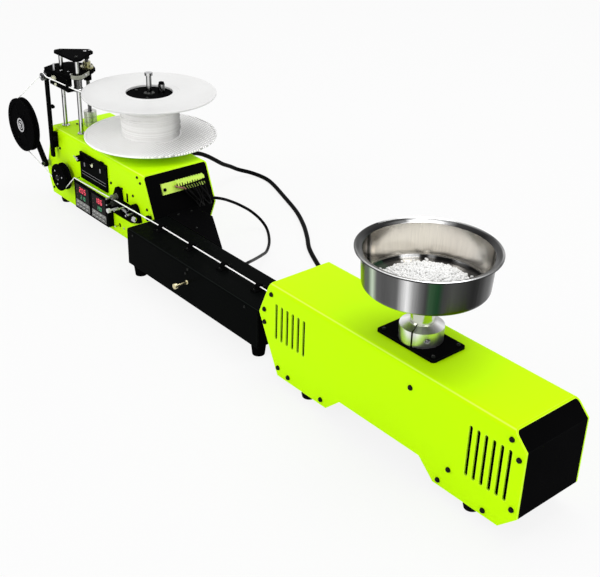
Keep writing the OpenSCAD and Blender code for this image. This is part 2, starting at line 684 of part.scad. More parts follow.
module traverse_carriage() color("black") inRow() difference() {
    union() {
        translate([0, 0, car_z0]) linear_extrude(carriage_t)
            polygon([[rod1_x - 20, rod_y - 19], [rod1_x + 12, rod_y - 17], [rod2_x - 4, rod_y - 8], [rod2_x + 5, rod_y - 6],
                [rod2_x + 8, rod_y + 3], [screw_x + 14, screw_y + 2], [screw_x + 6, screw_y + 11],
                [screw_x - 18, screw_y + 19], [rod1_x - 26, screw_y - 5], [rod1_x - 29, rod_y + 3]]);
        block([rod1_x - 9, rod_y - 8, car_z1 - bearing_l], [rod1_x + 9, rod_y + 9, car_z0 + eps]);
        bar(rod2_x, rod_y, car_z1 - bearing_l, car_z0 + eps, 6);
        bar(rod2_x, rod_y, car_z1 - bearing_l, car_z1 - bearing_l + 4, 7.5);
        bar(rod2_x, rod_y, car_z1 - eps, car_z1 + 2, 5);
        bar(screw_x, screw_y, car_z0 - 13, car_z0 + eps, 6);
        // block at the far end, and the arm under the filament that carries the eye
        block([rod1_x - 21, rod_y - 19.5, car_z0 - 6], [rod1_x, rod_y - 7, car_z0 + eps]);
        block([rod1_x + 12, eye_y + 1, eye_z - 2], [eye_x - 5, rod_y - 6, car_z0 + eps]);
        block([rod1_x - 8, eye_y - 2, eye_z - 8], [eye_x + 3, eye_y + 7, eye_z - 3]);
        block([rod1_x - 8, eye_y + 2, eye_z - 4], [rod1_x + 8, eye_y + 7, car_z0 + eps]);
        block([eye_x - 3, eye_y - 3, eye_z - 8], [eye_x + 3, eye_y + 3, eye_z + 4]);
    }
    for (x = [rod1_x, rod2_x]) bar(x, rod_y, car_z0 - bearing_l, car_z1 + 10, rod_d / 2 + slide_gap);
    bar(screw_x, screw_y, car_z0 - 14, car_z1 + 1, rod_d / 2 + slide_gap);
    barX(eye_x - 5, eye_x + 5, eye_y, eye_z, fil_r + fil_gap);
}
// flanged nut that the lead screw drives
module traverse_nut() color("wheat") inRow() difference() {
    union() {
        bar(screw_x, screw_y, car_z1, car_z1 + 3.5, 10);
        bar(screw_x, screw_y, car_z1 + 3.5, car_z1 + 11, 6);
    }
    bar(screw_x, screw_y, car_z1 - 1, car_z1 + 12, rod_d / 2 + slide_gap);
}

// ---- spool ----
module turntable() color("black") inRow() {
    bar(spool_x, spool_y, top_z + table_gap, spool_z0 - seat, table_r);
    bar(spool_x, spool_y, top_z - 12, top_z + table_gap, spindle_d / 2);
}
module spool() color("whitesmoke") inRow() difference() {
    union() {
        bar(spool_x, spool_y, spool_z0, spool_z0 + flange_thin, spool_r);
        bar(spool_x, spool_y, spool_z0, spool_z1, core_r);
        bar(spool_x, spool_y, spool_z1 - flange_thin, spool_z1, spool_r);
    }
    bar(spool_x, spool_y, spool_z0 - 1, spool_z1 + 1, bore_r);
}
module wound_filament() color("white") inRow() difference() {
    bar(spool_x, spool_y, spool_z0 + flange_thin + seat, spool_z1 - flange_thin - seat, wound_r);
    bar(spool_x, spool_y, spool_z0, spool_z1, core_r + 0.05);
}
module spool_hub() color("black") inRow() {
    bar(spool_x, spool_y, spool_z0, spool_z1 - 3, bore_r - seat);
    bar(spool_x + 6, spool_y + 18, spool_z1 - 3 + peg_up, spool_z1 + peg_up, peg_d / 2 - 1);
}
// spindle and drive peg over the hub
module spool_spindle() color("silver") inRow() {
    bar(spool_x, spool_y, spool_z1 - 3, spool_z1 + spindle_up - 4, spindle_d / 2);
    bar(spool_x, spool_y, spool_z1 + spindle_up - 4, spool_z1 + spindle_up, spindle_d / 2 + 2);
    bar(spool_x + 6, spool_y + 18, spool_z1 - 3, spool_z1 - 3 + peg_up, peg_d / 2);
}

// ---- filament ----
function turn(c, r, a) = [c[0] + r * cos(a), c[1] + r * sin(a)];
function at(p, y) = [p[0], y, p[1]];
// angle, about a, of the outer tangent that two circles share on their left as seen from a
function sharedAngle(a, ra, b, rb) = let (d = b - a) atan2(d[1], d[0]) + acos((ra - rb) / norm(d));
front_c = [front_x, front_z];
dancer_c = [dancer_x, dancer_z];
pulley_c = [pulley_x, pulley_z];
front_wrap = front_groove + fil_r + 0.1;
dancer_wrap = dancer_groove + fil_r + 0.1;
pulley_wrap = pulley_r - 2 + fil_r + 0.1;
low_angle = sharedAngle(front_c, front_wrap, dancer_c, dancer_wrap);
up_angle = sharedAngle(dancer_c, dancer_wrap, pulley_c, pulley_wrap);
to_leave = [eye_x - 3, eye_z] - pulley_c;
leave_angle = atan2(to_leave[1], to_leave[0]) + acos(pulley_wrap / norm(to_leave));
clear_of_pulley = turn(pulley_c, pulley_wrap, leave_angle) + 8 * [sin(leave_angle), -cos(leave_angle)];
// the filament rests on the display's top corner on its way to the front wheel
rest = [display_x0, display_z0 + display_h + fil_r + seat];
to_rest = rest - front_c;
front_angle = atan2(to_rest[1], to_rest[0]) - acos(front_wrap / norm(to_rest));
// and meets the winding at the tangent in front of the spool
to_eye = [eye_x + 3 - spool_x, eye_y - spool_y];
wind_r = wound_r + fil_r + 0.1;
wind_angle = atan2(to_eye[1], to_eye[0]) + acos(wind_r / norm(to_eye));
// a straight run of filament, just short of its neighbours
module run(a, b) {
    d = b - a;
    translate(a + unit(d) * seat) rotate([0, acos(d[2] / norm(d)), atan2(d[1], d[0])])
        cylinder(r = fil_r, h = norm(d) - 2 * seat, $fn = 16);
}
// filament bent round a wheel, from angle a0 to a1 as seen from the front
module bend(c, y, r, a0, a1) translate([c[0], y, c[1]]) rotate([90, 0, 0]) rotate([0, 0, a0])
    rotate_extrude(angle = a1 - a0) translate([r, 0]) circle(fil_r, $fn = 16);
module line_filament() color("white") inRow() {
    nip = [puller_x, line_y, nip_z];
    guide = [last_guide_x, line_y, line_z];
    corner = at(rest, line_y + 1.5);
    run([-die_out, line_y, line_z], guide);
    run(guide, nip);
    run(nip, corner);
    run(corner, at(turn(front_c, front_wrap, front_angle), front_y));
    bend(front_c, front_y, front_wrap, low_angle, front_angle + 360);
}
module dancer_filament_in() color("white") inRow()
    run(at(turn(front_c, front_wrap, low_angle), front_y), at(turn(dancer_c, dancer_wrap, low_angle), dancer_y));
module dancer_filament_wrap() color("white") inRow()
    bend(dancer_c, dancer_y, dancer_wrap, up_angle, low_angle);
module dancer_filament_out() color("white") inRow()
    run(at(turn(dancer_c, dancer_wrap, up_angle), dancer_y), at(turn(pulley_c, pulley_wrap, up_angle), pulley_y));
module traverse_filament() color("white") inRow() {
    bend(pulley_c, pulley_y, pulley_wrap, leave_angle, up_angle);
    run(at(turn(pulley_c, pulley_wrap, leave_angle), pulley_y), at(clear_of_pulley, pulley_y));
    run(at(clear_of_pulley, pulley_y), [eye_x - 3.5, eye_y, eye_z]);
}
module spool_filament() color("white") inRow() {
    run([eye_x - 3 - seat, eye_y, eye_z], [eye_x + 3, eye_y, eye_z]);
    run([eye_x + 3, eye_y, eye_z],
        [spool_x + wind_r * cos(wind_angle), spool_y + wind_r * sin(wind_angle), eye_z - lay_drop]);
}

// ---- cables ----
power_d = 7;
signal_d = 4.5;
// routes in the row's frame, from the winder round to the extruder and to the trough
power_route = [[-455, 182, 95], [-456, 198, 94], [-461, 220, 90], [-468, 243, 82], [-474, 264, 70],
    [-482, 286, 54], [-491, 308, 38], [-502, 332, 26], [-509, 355, 15], [-500, 376, 7], [-476, 385, 3.6],
    [-446, 380, 3.6], [-392, 361, 3.6], [-332, 338, 3.6], [-286, 314, 3.6], [-249, 290, 3.6],
    [-214, 265, 3.6], [-167, 241, 3.6], [-110, 216, 3.6], [-50, 192, 3.6], [2, 172, 3.6],
    [36, 157, 7], [54, 142, 20], [60, 127, 36], [60, 109, 45]];
signal_route = [[-316, 160, 79], [-317, 170, 77], [-319, 182, 73], [-326, 197, 62], [-329, 219, 48],
    [-328, 242, 31], [-321, 257, 14], [-303, 255, 4.5], [-272, 234, 2.4], [-242, 205, 7],
    [-217, 176, 19], [-195, 150, 31], [-174, 126, 43], [-157, 106, 53], [-147, 90, 58]];
function mirrored(p, q) = 2 * p - q;
// a smooth line through the points, with one more ring halfway along each stretch
function smooth(p) = let (n = len(p) - 1) [for (i = [0:n - 1]) for (t = [0, 0.5])
    let (a = i > 0 ? p[i - 1] : mirrored(p[0], p[1]), b = p[i], c = p[i + 1],
         d = i < n - 1 ? p[i + 2] : mirrored(p[n], p[n - 1]))
    t == 0 ? b : (9 * (b + c) - a - d) / 16, p[n]];
module tube(route, d, sides) {
    p = smooth(route);
    n = len(p) - 1;
    rings = [for (i = [0:n])
        let (ahead = i == 0 ? [0, 1, 0] : i == n ? [0, -1, 0] : unit(p[i + 1] - p[i - 1]),
             side = unit(cross(ahead, [0, 0, 1])), up = cross(side, ahead))
        for (k = [0:sides - 1]) p[i] + d / 2 * (cos(360 * k / sides) * side + sin(360 * k / sides) * up)];
    polyhedron(rings, concat(
        [[for (k = [sides - 1:-1:0]) k]],
        [for (i = [0:n - 1]) for (k = [0:sides - 1])
            [i * sides + k, i * sides + (k + 1) % sides, (i + 1) * sides + (k + 1) % sides, (i + 1) * sides + k]],
        [[for (k = [0:sides - 1]) n * sides + k]]));
}
module gland(p, y, r) {
    barY(p[0], y, y + 4, p[2], r + 4);
    barY(p[0], y + 4, p[1] - seat, p[2], r + 1.5);
}
module cable_glands() color("black") inRow() {
    gland(power_route[0], win_y1, power_d / 2);
    gland(power_route[len(power_route) - 1], ext_depth, power_d / 2);
    gland(signal_route[len(signal_route) - 1], trough_y1, signal_d / 2);
    onFacet() block([51, 150, 0], [59, 160 - seat, 9]);
}
module power_cable() color("black") inRow() tube(power_route, power_d, 10);
module signal_cable() color("black") inRow() tube(signal_route, signal_d, 8);

extruder_hood();
extruder_end_panels();
extruder_base();
housing_feet();
screw_barrel();
drive_motor();
hopper_flange();
hopper_collar();
hopper_neck();
hopper_pan();
pellet_heap();
trough_cover();
trough_base();
trough_feet();
trough_knob();
filament_guides();
link_deck();
winder_hood();
winder_end_panels();
winder_base();
terminal_block();
control_board();
board_knobs();
display_bezel();
panel_meters();
puller_bracket();
puller_pins();
puller_knob();
puller_upper_roller();
puller_lower_roller();
front_wheel();
wheel_axles();
dancer_arm();
dancer_wheel();
guide_post();
guide_pulley();
traverse_rods();
lead_screw();
shaft_coupling();
traverse_top();
traverse_carriage();
traverse_nut();
turntable();
spool();
wound_filament();
spool_hub();
spool_spindle();
line_filament();
dancer_filament_in();
dancer_filament_wrap();
dancer_filament_out();
traverse_filament();
spool_filament();
cable_glands();
power_cable();
signal_cable();
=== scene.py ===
import bmesh, bpy, json, math, random
from mathutils import Matrix, Vector, noise


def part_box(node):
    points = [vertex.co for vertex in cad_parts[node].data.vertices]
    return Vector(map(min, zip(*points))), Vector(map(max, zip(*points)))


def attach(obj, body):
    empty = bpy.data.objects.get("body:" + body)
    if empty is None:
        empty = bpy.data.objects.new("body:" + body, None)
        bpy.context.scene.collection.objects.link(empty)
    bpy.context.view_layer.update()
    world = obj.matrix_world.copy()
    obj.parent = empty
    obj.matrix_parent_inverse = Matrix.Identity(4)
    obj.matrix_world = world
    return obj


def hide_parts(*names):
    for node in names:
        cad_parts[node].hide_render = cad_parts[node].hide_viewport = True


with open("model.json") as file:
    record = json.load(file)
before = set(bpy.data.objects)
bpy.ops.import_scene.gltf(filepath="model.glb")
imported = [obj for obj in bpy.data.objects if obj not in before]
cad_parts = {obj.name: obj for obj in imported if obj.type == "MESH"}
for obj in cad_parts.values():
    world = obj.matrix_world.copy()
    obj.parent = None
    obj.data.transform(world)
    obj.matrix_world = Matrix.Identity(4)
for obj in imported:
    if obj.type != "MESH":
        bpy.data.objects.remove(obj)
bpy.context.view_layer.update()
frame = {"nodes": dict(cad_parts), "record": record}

print("frame loaded,", len(frame["nodes"]), "nodes")

# the row's own frame: millimetres from the extruder's nose, front plate and bench
rowX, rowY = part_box("extruder_hood")[0][:2]


def place(p):
    return Vector((rowX + p[0] / 1000, rowY + p[1] / 1000, p[2] / 1000))


def spanOf(node):
    return [Vector(((c[0] - rowX) * 1000, (c[1] - rowY) * 1000, c[2] * 1000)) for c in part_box(node)]


def middleOf(node):
    low, high = spanOf(node)
    return (low + high) / 2


camera = {"where": (1.00495, -0.78076, 0.69614), "turn": 49.056, "down": 28.171, "roll": 1.769,
          "lens": 63.07, "sensor": 36, "reach": 50}


def addCamera():
    turn, down, roll = (math.radians(camera[k]) for k in ("turn", "down", "roll"))
    ahead = Vector((-math.sin(turn) * math.cos(down), math.cos(turn) * math.cos(down), -math.sin(down)))
    right = Vector((math.cos(turn), math.sin(turn), 0))
    up = right.cross(ahead)
    side = math.cos(roll) * right + math.sin(roll) * up
    top = -math.sin(roll) * right + math.cos(roll) * up
    data = bpy.data.cameras.new("mainCamera")
    data.lens, data.sensor_width, data.clip_end = camera["lens"], camera["sensor"], camera["reach"]
    seen = bpy.data.objects.new("mainCamera", data)
    seen.matrix_world = Matrix.Translation(camera["where"]) @ Matrix((side, top, -ahead)).transposed().to_4x4()
    bpy.context.scene.collection.objects.link(seen)
    bpy.context.scene.camera = seen


addCamera()


# shader nodes: each helper gives back sockets, so that one line can feed the next
def connect(tree, value, socket):
    if isinstance(value, bpy.types.NodeSocket):
        tree.links.new(value, socket)
    else:
        socket.default_value = value


def addNode(tree, kind, links=None, **values):
    node = tree.nodes.new("ShaderNode" + kind)
    for key, value in values.items():
        setattr(node, key, value)
    for key, value in (links or {}).items():
        connect(tree, value, node.inputs[key])
    return node.outputs


def addMath(tree, operation, a, b=0.0, clamp=False):
    return addNode(tree, "Math", {0: a, 1: b}, operation=operation, use_clamp=clamp)[0]


def addVector(tree, operation, a, b=None):
    links = {0: a} if b is None else {0: a, "Scale" if operation == "SCALE" else 1: b}
    out = addNode(tree, "VectorMath", links, operation=operation)
    return out["Value" if operation in ("DOT_PRODUCT", "LENGTH") else "Vector"]


def addRange(tree, value, low, high, toLow=0.0, toHigh=1.0, **values):
    links = {"Value": value, "From Min": low, "From Max": high, "To Min": toLow, "To Max": toHigh}
    return addNode(tree, "MapRange", links, **values)["Result"]


def addNoise(tree, links, **values):
    return addNode(tree, "TexNoise", links, **values)["Fac"]


def objectSpot(tree):
    return addNode(tree, "TexCoord")["Object"]


def objectNormal(tree):
    return addNode(tree, "TexCoord")["Normal"]


def mixTones(tree, factor, a, b, blend="MIX"):
    return addNode(tree, "Mix", {"Factor": factor, "A": a, "B": b}, data_type="RGBA", blend_type=blend)["Result"]


def swingAbout(tree, cloud, amount, middle, clamp=False):
    # middle, raised and lowered by a noise that runs from 0 to 1
    share = addMath(tree, "MULTIPLY", addMath(tree, "SUBTRACT", cloud, 0.5), amount)
    return addMath(tree, "ADD", share, middle, clamp)


def aboutAxis(tree, axis):
    # place from an upright axis: whole, in parts, flat, and how far out
    off = addVector(tree, "SUBTRACT", objectSpot(tree), axis)
    parts = addNode(tree, "SeparateXYZ", {0: off})
    flat = addNode(tree, "CombineXYZ", {"X": parts["X"], "Y": parts["Y"]})["Vector"]
    return off, parts, flat, addVector(tree, "LENGTH", flat)


# shader groups: each effect is built once and placed with its own values
grey, white, origin = (0.5, 0.5, 0.5, 1), (1, 1, 1, 1), (0, 0, 0)


def newGroup(name, inputs, outputs):
    # inputs carry their starting value, outputs their kind
    group = bpy.data.node_groups.new(name, "ShaderNodeTree")
    for label, value in inputs.items():
        kind = "Float" if isinstance(value, float) else {4: "Color", 3: "Vector"}[len(value)]
        socket = group.interface.new_socket(label, in_out="INPUT", socket_type="NodeSocket" + kind)
        socket.default_value = value
    for label, kind in outputs.items():
        group.interface.new_socket(label, in_out="OUTPUT", socket_type="NodeSocket" + kind)
    return group, group.nodes.new("NodeGroupInput").outputs, group.nodes.new("NodeGroupOutput").inputs


def makeColourDrift():
    # slow, soft changes of brightness over a surface, in metres of the piece itself
    group, entry, leave = newGroup("colourDrift", {"Color": grey, "Amount": 0.1, "Size": 12.0}, {"Color": "Color"})
    cloud = addNoise(group, {"Vector": objectSpot(group), "Scale": entry["Size"], "Detail": 3.0, "Roughness": 0.55})
    level = swingAbout(group, cloud, entry["Amount"], 1.0)
    connect(group, addVector(group, "SCALE", entry["Color"], level), leave["Color"])


def makeFineGrain():
    # orange peel, moulding grain or brushed lines, depending on Stretch
    group, entry, leave = newGroup("fineGrain", {"Size": 900.0, "Depth": 0.1, "Stretch": (1, 1, 1)},
                                   {"Normal": "Vector"})
    drawn = addVector(group, "MULTIPLY", objectSpot(group), entry["Stretch"])
    grain = addNoise(group, {"Vector": drawn, "Scale": entry["Size"], "Detail": 2.0})
    bump = addNode(group, "Bump", {"Strength": entry["Depth"], "Distance": 0.0004, "Height": grain})
    connect(group, bump["Normal"], leave["Normal"])


def makeHandlingMarks():
    # patches that are a little duller or shinier where hands and dust have been
    group, entry, leave = newGroup("handlingMarks", {"Roughness": 0.3, "Spread": 0.1, "Size": 25.0},
                                   {"Roughness": "Float"})
    patch = addNoise(group, {"Vector": objectSpot(group), "Scale": entry["Size"], "Detail": 5.0, "Roughness": 0.65})
    connect(group, swingAbout(group, patch, entry["Spread"], entry["Roughness"], True), leave["Roughness"])


def makeEdgeHighlight():
    # painted highlight: a thin bright line along sharp edges, broken up so that it isn't even
    group, entry, leave = newGroup(
        "edgeHighlight", {"Color": grey, "Edge Color": white, "Width": 0.0006, "Amount": 0.5}, {"Color": "Color"})
    rounded = addNode(group, "Bevel", {"Radius": entry["Width"]}, samples=6)["Normal"]
    likeness = addVector(group, "DOT_PRODUCT", rounded, addNode(group, "NewGeometry")["Normal"])
    edge = addRange(group, likeness, 0.995, 0.9)
    breaks = addNoise(group, {"Vector": objectSpot(group), "Scale": 120.0, "Detail": 3.0})
    paintedLightMask = addMath(group, "MULTIPLY", edge, addRange(group, breaks, 0.35, 0.6, 0.3))
    share = addMath(group, "MULTIPLY", paintedLightMask, entry["Amount"], True)
    connect(group, mixTones(group, share, entry["Color"], entry["Edge Color"]), leave["Color"])


def makeFoldHighlight():
    # painted highlight: the thin bright line along a folded sheet's bend, where the front turns into the top
    group, entry, leave = newGroup("foldHighlight", {"Color": grey, "Line Color": white, "Amount": 0.6}, {"Color": "Color"})
    facing = addNode(group, "SeparateXYZ", {0: objectNormal(group)})
    steep, flat = addRange(group, facing["Z"], 0.66, 0.74), addRange(group, facing["Z"], 0.90, 0.82)
    bend = addMath(group, "MULTIPLY", steep, flat)
    along = addRange(group, addMath(group, "ABSOLUTE", facing["Y"]), 0.28, 0.40)
    share = addMath(group, "MULTIPLY", addMath(group, "MULTIPLY", bend, along), entry["Amount"], True)
    connect(group, mixTones(group, share, entry["Color"], entry["Line Color"]), leave["Color"])


def makeSpunMetal():
    # fine rings of a turned part, and slow bands of painted reflection, about an upright axis
    group, entry, leave = newGroup(
        "spunMetal", {"Color": grey, "Axis": origin, "Lines": 900.0, "Bands": 0.3, "Count": 2.5},
        {"Color": "Color", "Height": "Float"})
    _, parts, flat, reach = aboutAxis(group, entry["Axis"])
    ring = addMath(group, "ADD", reach, parts["Z"])
    lines = addNoise(group, {"W": ring, "Scale": entry["Lines"], "Detail": 2.0}, noise_dimensions="1D")
    ahead = addVector(group, "NORMALIZE", flat)
    bands = addNoise(group, {"Vector": ahead, "Scale": entry["Count"], "Detail": 1.0})
    steep = addRange(group, bands, 0.36, 0.62, interpolation_type="SMOOTHERSTEP")
    level = addMath(group, "SUBTRACT", 1.0, addMath(group, "MULTIPLY", steep, entry["Bands"]))
    connect(group, addVector(group, "SCALE", entry["Color"], level), leave["Color"])
    connect(group, lines, leave["Height"])


def makeAroundAxis():
    # where a spot lies round an upright axis, which way it faces, and its brushing
    group, entry, leave = newGroup(
        "aroundAxis", {"Axis": origin, "Top": 1.0, "Crest": 1.0, "Streaks": 0.3},
        {"Turn": "Float", "Outward": "Float", "Up": "Float", "Lip": "Float", "Crest": "Float",
         "Streak Color": "Color", "Rings": "Float"})
    _, parts, flat, reach = aboutAxis(group, entry["Axis"])
    bearing = addMath(group, "ARCTAN2", parts["Y"], parts["X"])
    connect(group, addRange(group, bearing, -math.pi, math.pi), leave["Turn"])
    normal = objectNormal(group)
    facing = addVector(group, "DOT_PRODUCT", normal, addVector(group, "NORMALIZE", flat))
    connect(group, addRange(group, facing, -0.15, 0.15), leave["Outward"])
    connect(group, addRange(group, addNode(group, "SeparateXYZ", {0: normal})["Z"], 0.2, 0.42), leave["Up"])
    for level, reached in (("Top", "Lip"), ("Crest", "Crest")):
        above = addMath(group, "ADD", entry[level], 0.0004)
        connect(group, addRange(group, parts["Z"], entry[level], above), leave[reached])
    spot = addNode(group, "CombineXYZ", {"X": addMath(group, "MULTIPLY", bearing, 22.0),
                                         "Y": addMath(group, "MULTIPLY", parts["Z"], 14.0)})["Vector"]
    streak = addNoise(group, {"Vector": spot, "Scale": 1.6, "Detail": 5.0, "Roughness": 0.7})
    connect(group, swingAbout(group, streak, entry["Streaks"], 1.0), leave["Streak Color"])
    ring = addMath(group, "ADD", reach, parts["Z"])
    connect(group, addNoise(group, {"W": ring, "Scale": 1300.0, "Detail": 2.0}, noise_dimensions="1D"), leave["Rings"])


def makeSideTurn():
    # which way round an upright axis a surface faces, 0 to 1
    group, entry, leave = newGroup("sideTurn", {"Normal": (1, 0, 0)}, {"Turn": "Float"})
    parts = addNode(group, "SeparateXYZ", {0: entry["Normal"]})
    connect(group, addRange(group, addMath(group, "ARCTAN2", parts["Y"], parts["X"]), -math.pi, math.pi), leave["Turn"])


def makeMouldedLattice():
    # crossing ribs on a disc, outside the From radius and near its own height
    group, entry, leave = newGroup("mouldedLattice", {"Axis": origin, "Pitch": 0.004, "From": 0.05},
                                   {"Mask": "Float", "Height": "Float", "Low": "Float"})
    off, parts, _, reach = aboutAxis(group, entry["Axis"])
    ribs = []
    for side in ("X", "Y"):
        cell = addMath(group, "FRACT", addMath(group, "DIVIDE", parts[side], entry["Pitch"]))
        away = addMath(group, "ABSOLUTE", addMath(group, "SUBTRACT", cell, 0.5))
        ribs.append(addRange(group, away, 0.30, 0.44))
    low = addMath(group, "LESS_THAN", parts["Z"], 0.006)
    shown = addMath(group, "MULTIPLY", addMath(group, "GREATER_THAN", reach, entry["From"]), low)
    height = addMath(group, "MULTIPLY", addMath(group, "MAXIMUM", *ribs), shown)
    connect(group, height, leave["Height"])
    connect(group, low, leave["Low"])
    # painted shade: the dark rib colour shows only on one side of the disc, where the upper flange's shadow falls
    paintedLightMask = addRange(group, addVector(group, "DOT_PRODUCT", off, (0.72, 0.69, 0)), 0.0, 0.055, 0.0, 0.85)
    connect(group, addMath(group, "MULTIPLY", height, paintedLightMask), leave["Mask"])


for makeGroup in (makeColourDrift, makeFineGrain, makeHandlingMarks, makeEdgeHighlight, makeFoldHighlight, makeSpunMetal,
                  makeAroundAxis, makeSideTurn, makeMouldedLattice):
    makeGroup()
print("shader groups built")


# finishes
def startFinish(name, **values):
    material = bpy.data.materials.new(name)
    material.use_nodes = True
    surface = material.node_tree.nodes["Principled BSDF"].inputs
    for key, value in values.items():
        surface[socketOfKey.get(key, key)].default_value = value
    return material, material.node_tree, surface


socketOfKey = {"specular": "Specular IOR Level", "tint": "Specular Tint", "metallic": "Metallic",
               "roughness": "Roughness", "lit": "Emission Strength",
               "softness": "Subsurface Weight", "softRadius": "Subsurface Radius"}


def placeGroup(tree, name, **links):
    links = {key.replace("_", " "): value for key, value in links.items()}
    return addNode(tree, "Group", links, node_tree=bpy.data.node_groups[name])


def handle(tree, surface, roughness, spread, size=25.0):
    marks = placeGroup(tree, "handlingMarks", Roughness=roughness, Spread=spread, Size=size)
    connect(tree, marks["Roughness"], surface["Roughness"])


def emboss(tree, surface, height, strength, distance=0.0002):
    bump = addNode(tree, "Bump", {"Strength": strength, "Distance": distance, "Height": height})
    connect(tree, bump["Normal"], surface["Normal"])


def makeFinish(name, colour, roughness, drift=0.08, driftSize=14.0, spread=0.12, grain=0.15, grainSize=1600.0,
               edge=None, edgeAmount=0.5, edgeWidth=0.0006, fold=None, foldAmount=0.6, **values):
    material, tree, surface = startFinish(name, **values)
    tone = placeGroup(tree, "colourDrift", Color=(*colour, 1), Amount=drift, Size=driftSize)["Color"]
    if edge:
        tone = placeGroup(tree, "edgeHighlight", Color=tone, Edge_Color=(*edge, 1), Amount=edgeAmount,
                          Width=edgeWidth)["Color"]
    if fold:
        tone = placeGroup(tree, "foldHighlight", Color=tone, Line_Color=(*fold, 1), Amount=foldAmount)["Color"]
    connect(tree, tone, surface["Base Color"])
    handle(tree, surface, roughness, spread)
    connect(tree, placeGroup(tree, "fineGrain", Size=grainSize, Depth=grain)["Normal"], surface["Normal"])
    return material


def shadeOf(colour):
    return (*colour, 1) if isinstance(colour, tuple) else (colour, colour, colour, 1)


def addRamp(tree, factor, stops):
    node = tree.nodes.new("ShaderNodeValToRGB")
    connect(tree, factor, node.inputs["Fac"])
    bars = node.color_ramp.elements
    bars.remove(bars[-1])
    bars[0].position, bars[0].color = stops[0][0], shadeOf(stops[0][1])
    for spot, colour in stops[1:]:
        bars.new(spot).color = shadeOf(colour)
    return node.outputs["Color"]


# turned metal: fine rings, and slow painted reflection bands round its axis
def makeSpun(name, colour, roughness, axis, lines, bands, count, depth):
    material, tree, surface = startFinish(name, metallic=1.0)
    turned = placeGroup(tree, "spunMetal", Color=(*colour, 1), Axis=axis, Lines=lines, Bands=bands, Count=count)
    connect(tree, turned["Color"], surface["Base Color"])
    handle(tree, surface, roughness, 0.1, 30.0)
    emboss(tree, surface, turned["Height"], depth)
    return material


def makeReflectionBanded(name, bands, roughness, axis):
    # turned metal with painted reflections: upright bands of light and dark round the axis, another set on each of its
    # sides
    material, tree, surface = startFinish(name, metallic=1.0)
    turned = placeGroup(tree, "aroundAxis", Axis=axis, Streaks=bands["streaks"], **bands["levels"])
    tone = addRamp(tree, turned["Turn"], bands["inside"])
    for mask in ("Outward", "Up", "Lip", "Crest"):
        if mask in bands:
            tone = mixTones(tree, turned[mask], tone, addRamp(tree, turned["Turn"], bands[mask]))
    connect(tree, mixTones(tree, 1.0, tone, turned["Streak Color"], "MULTIPLY"), surface["Base Color"])
    handle(tree, surface, roughness, 0.12, 30.0)
    emboss(tree, surface, turned["Rings"], 0.1)
    return material


def makeWound(name, colour, shade, around, roughness):
    # wound filament: painted shade in random bands between the turns, and painted shade laid round the axis on one side
    material, tree, surface = startFinish(name, specular=0.3)
    turned = placeGroup(tree, "aroundAxis", Axis=spoolAxis, Streaks=0.12)
    tone = mixTones(tree, addRange(tree, turned["Rings"], 0.36, 0.60), (*shade, 1), (*colour, 1))
    tone = mixTones(tree, 1.0, tone, addRamp(tree, turned["Turn"], around), "MULTIPLY")
    connect(tree, mixTones(tree, 1.0, tone, turned["Streak Color"], "MULTIPLY"), surface["Base Color"])
    handle(tree, surface, roughness, 0.1)
    emboss(tree, surface, turned["Rings"], 0.3)
    return material


def makeSideReflection(name, stops, roughness):
    # polished rod: painted reflections of its surroundings, laid by the side it faces
    material, tree, surface = startFinish(name, metallic=1.0)
    side = placeGroup(tree, "sideTurn", Normal=objectNormal(tree))
    connect(tree, addRamp(tree, side["Turn"], stops), surface["Base Color"])
    handle(tree, surface, roughness, 0.06, 40.0)
    return material


def makeLit(name, colour, strength):
    material, tree, surface = startFinish(name, roughness=0.4, lit=strength)
    tone = placeGroup(tree, "colourDrift", Color=(*colour, 1), Amount=0.5, Size=400.0)["Color"]
    for socket in ("Base Color", "Emission Color"):
        connect(tree, tone, surface[socket])
    return material


def makeLattice(name, colour, lowPaintedLightColour, ribShadeColour, roughness):
    # moulded plastic with a fine square lattice in its lower disc; the lower disc gets a lighter colour than the upper
    # one as painted light against the shade between the flanges, and the dark ribs carry painted shade on one side
    material, tree, surface = startFinish(name, specular=0.2)
    grid = placeGroup(tree, "mouldedLattice", Axis=spoolAxis, Pitch=0.0046, From=0.0465)
    plain = mixTones(tree, grid["Low"], (*colour, 1), (*lowPaintedLightColour, 1))
    tone = placeGroup(tree, "colourDrift", Color=plain, Amount=0.10, Size=22.0)["Color"]
    connect(tree, mixTones(tree, grid["Mask"], tone, (*ribShadeColour, 1)), surface["Base Color"])
    handle(tree, surface, roughness, 0.2)
    emboss(tree, surface, grid["Height"], 0.35, 0.0004)
    return material


hopperAxis = (*place(middleOf("hopper_pan")).xy, 0)
couplingAxis = (*place(middleOf("shaft_coupling")).xy, 0)
spoolAxis = (*place(middleOf("spool")).xy, spanOf("spool")[0].z / 1000)
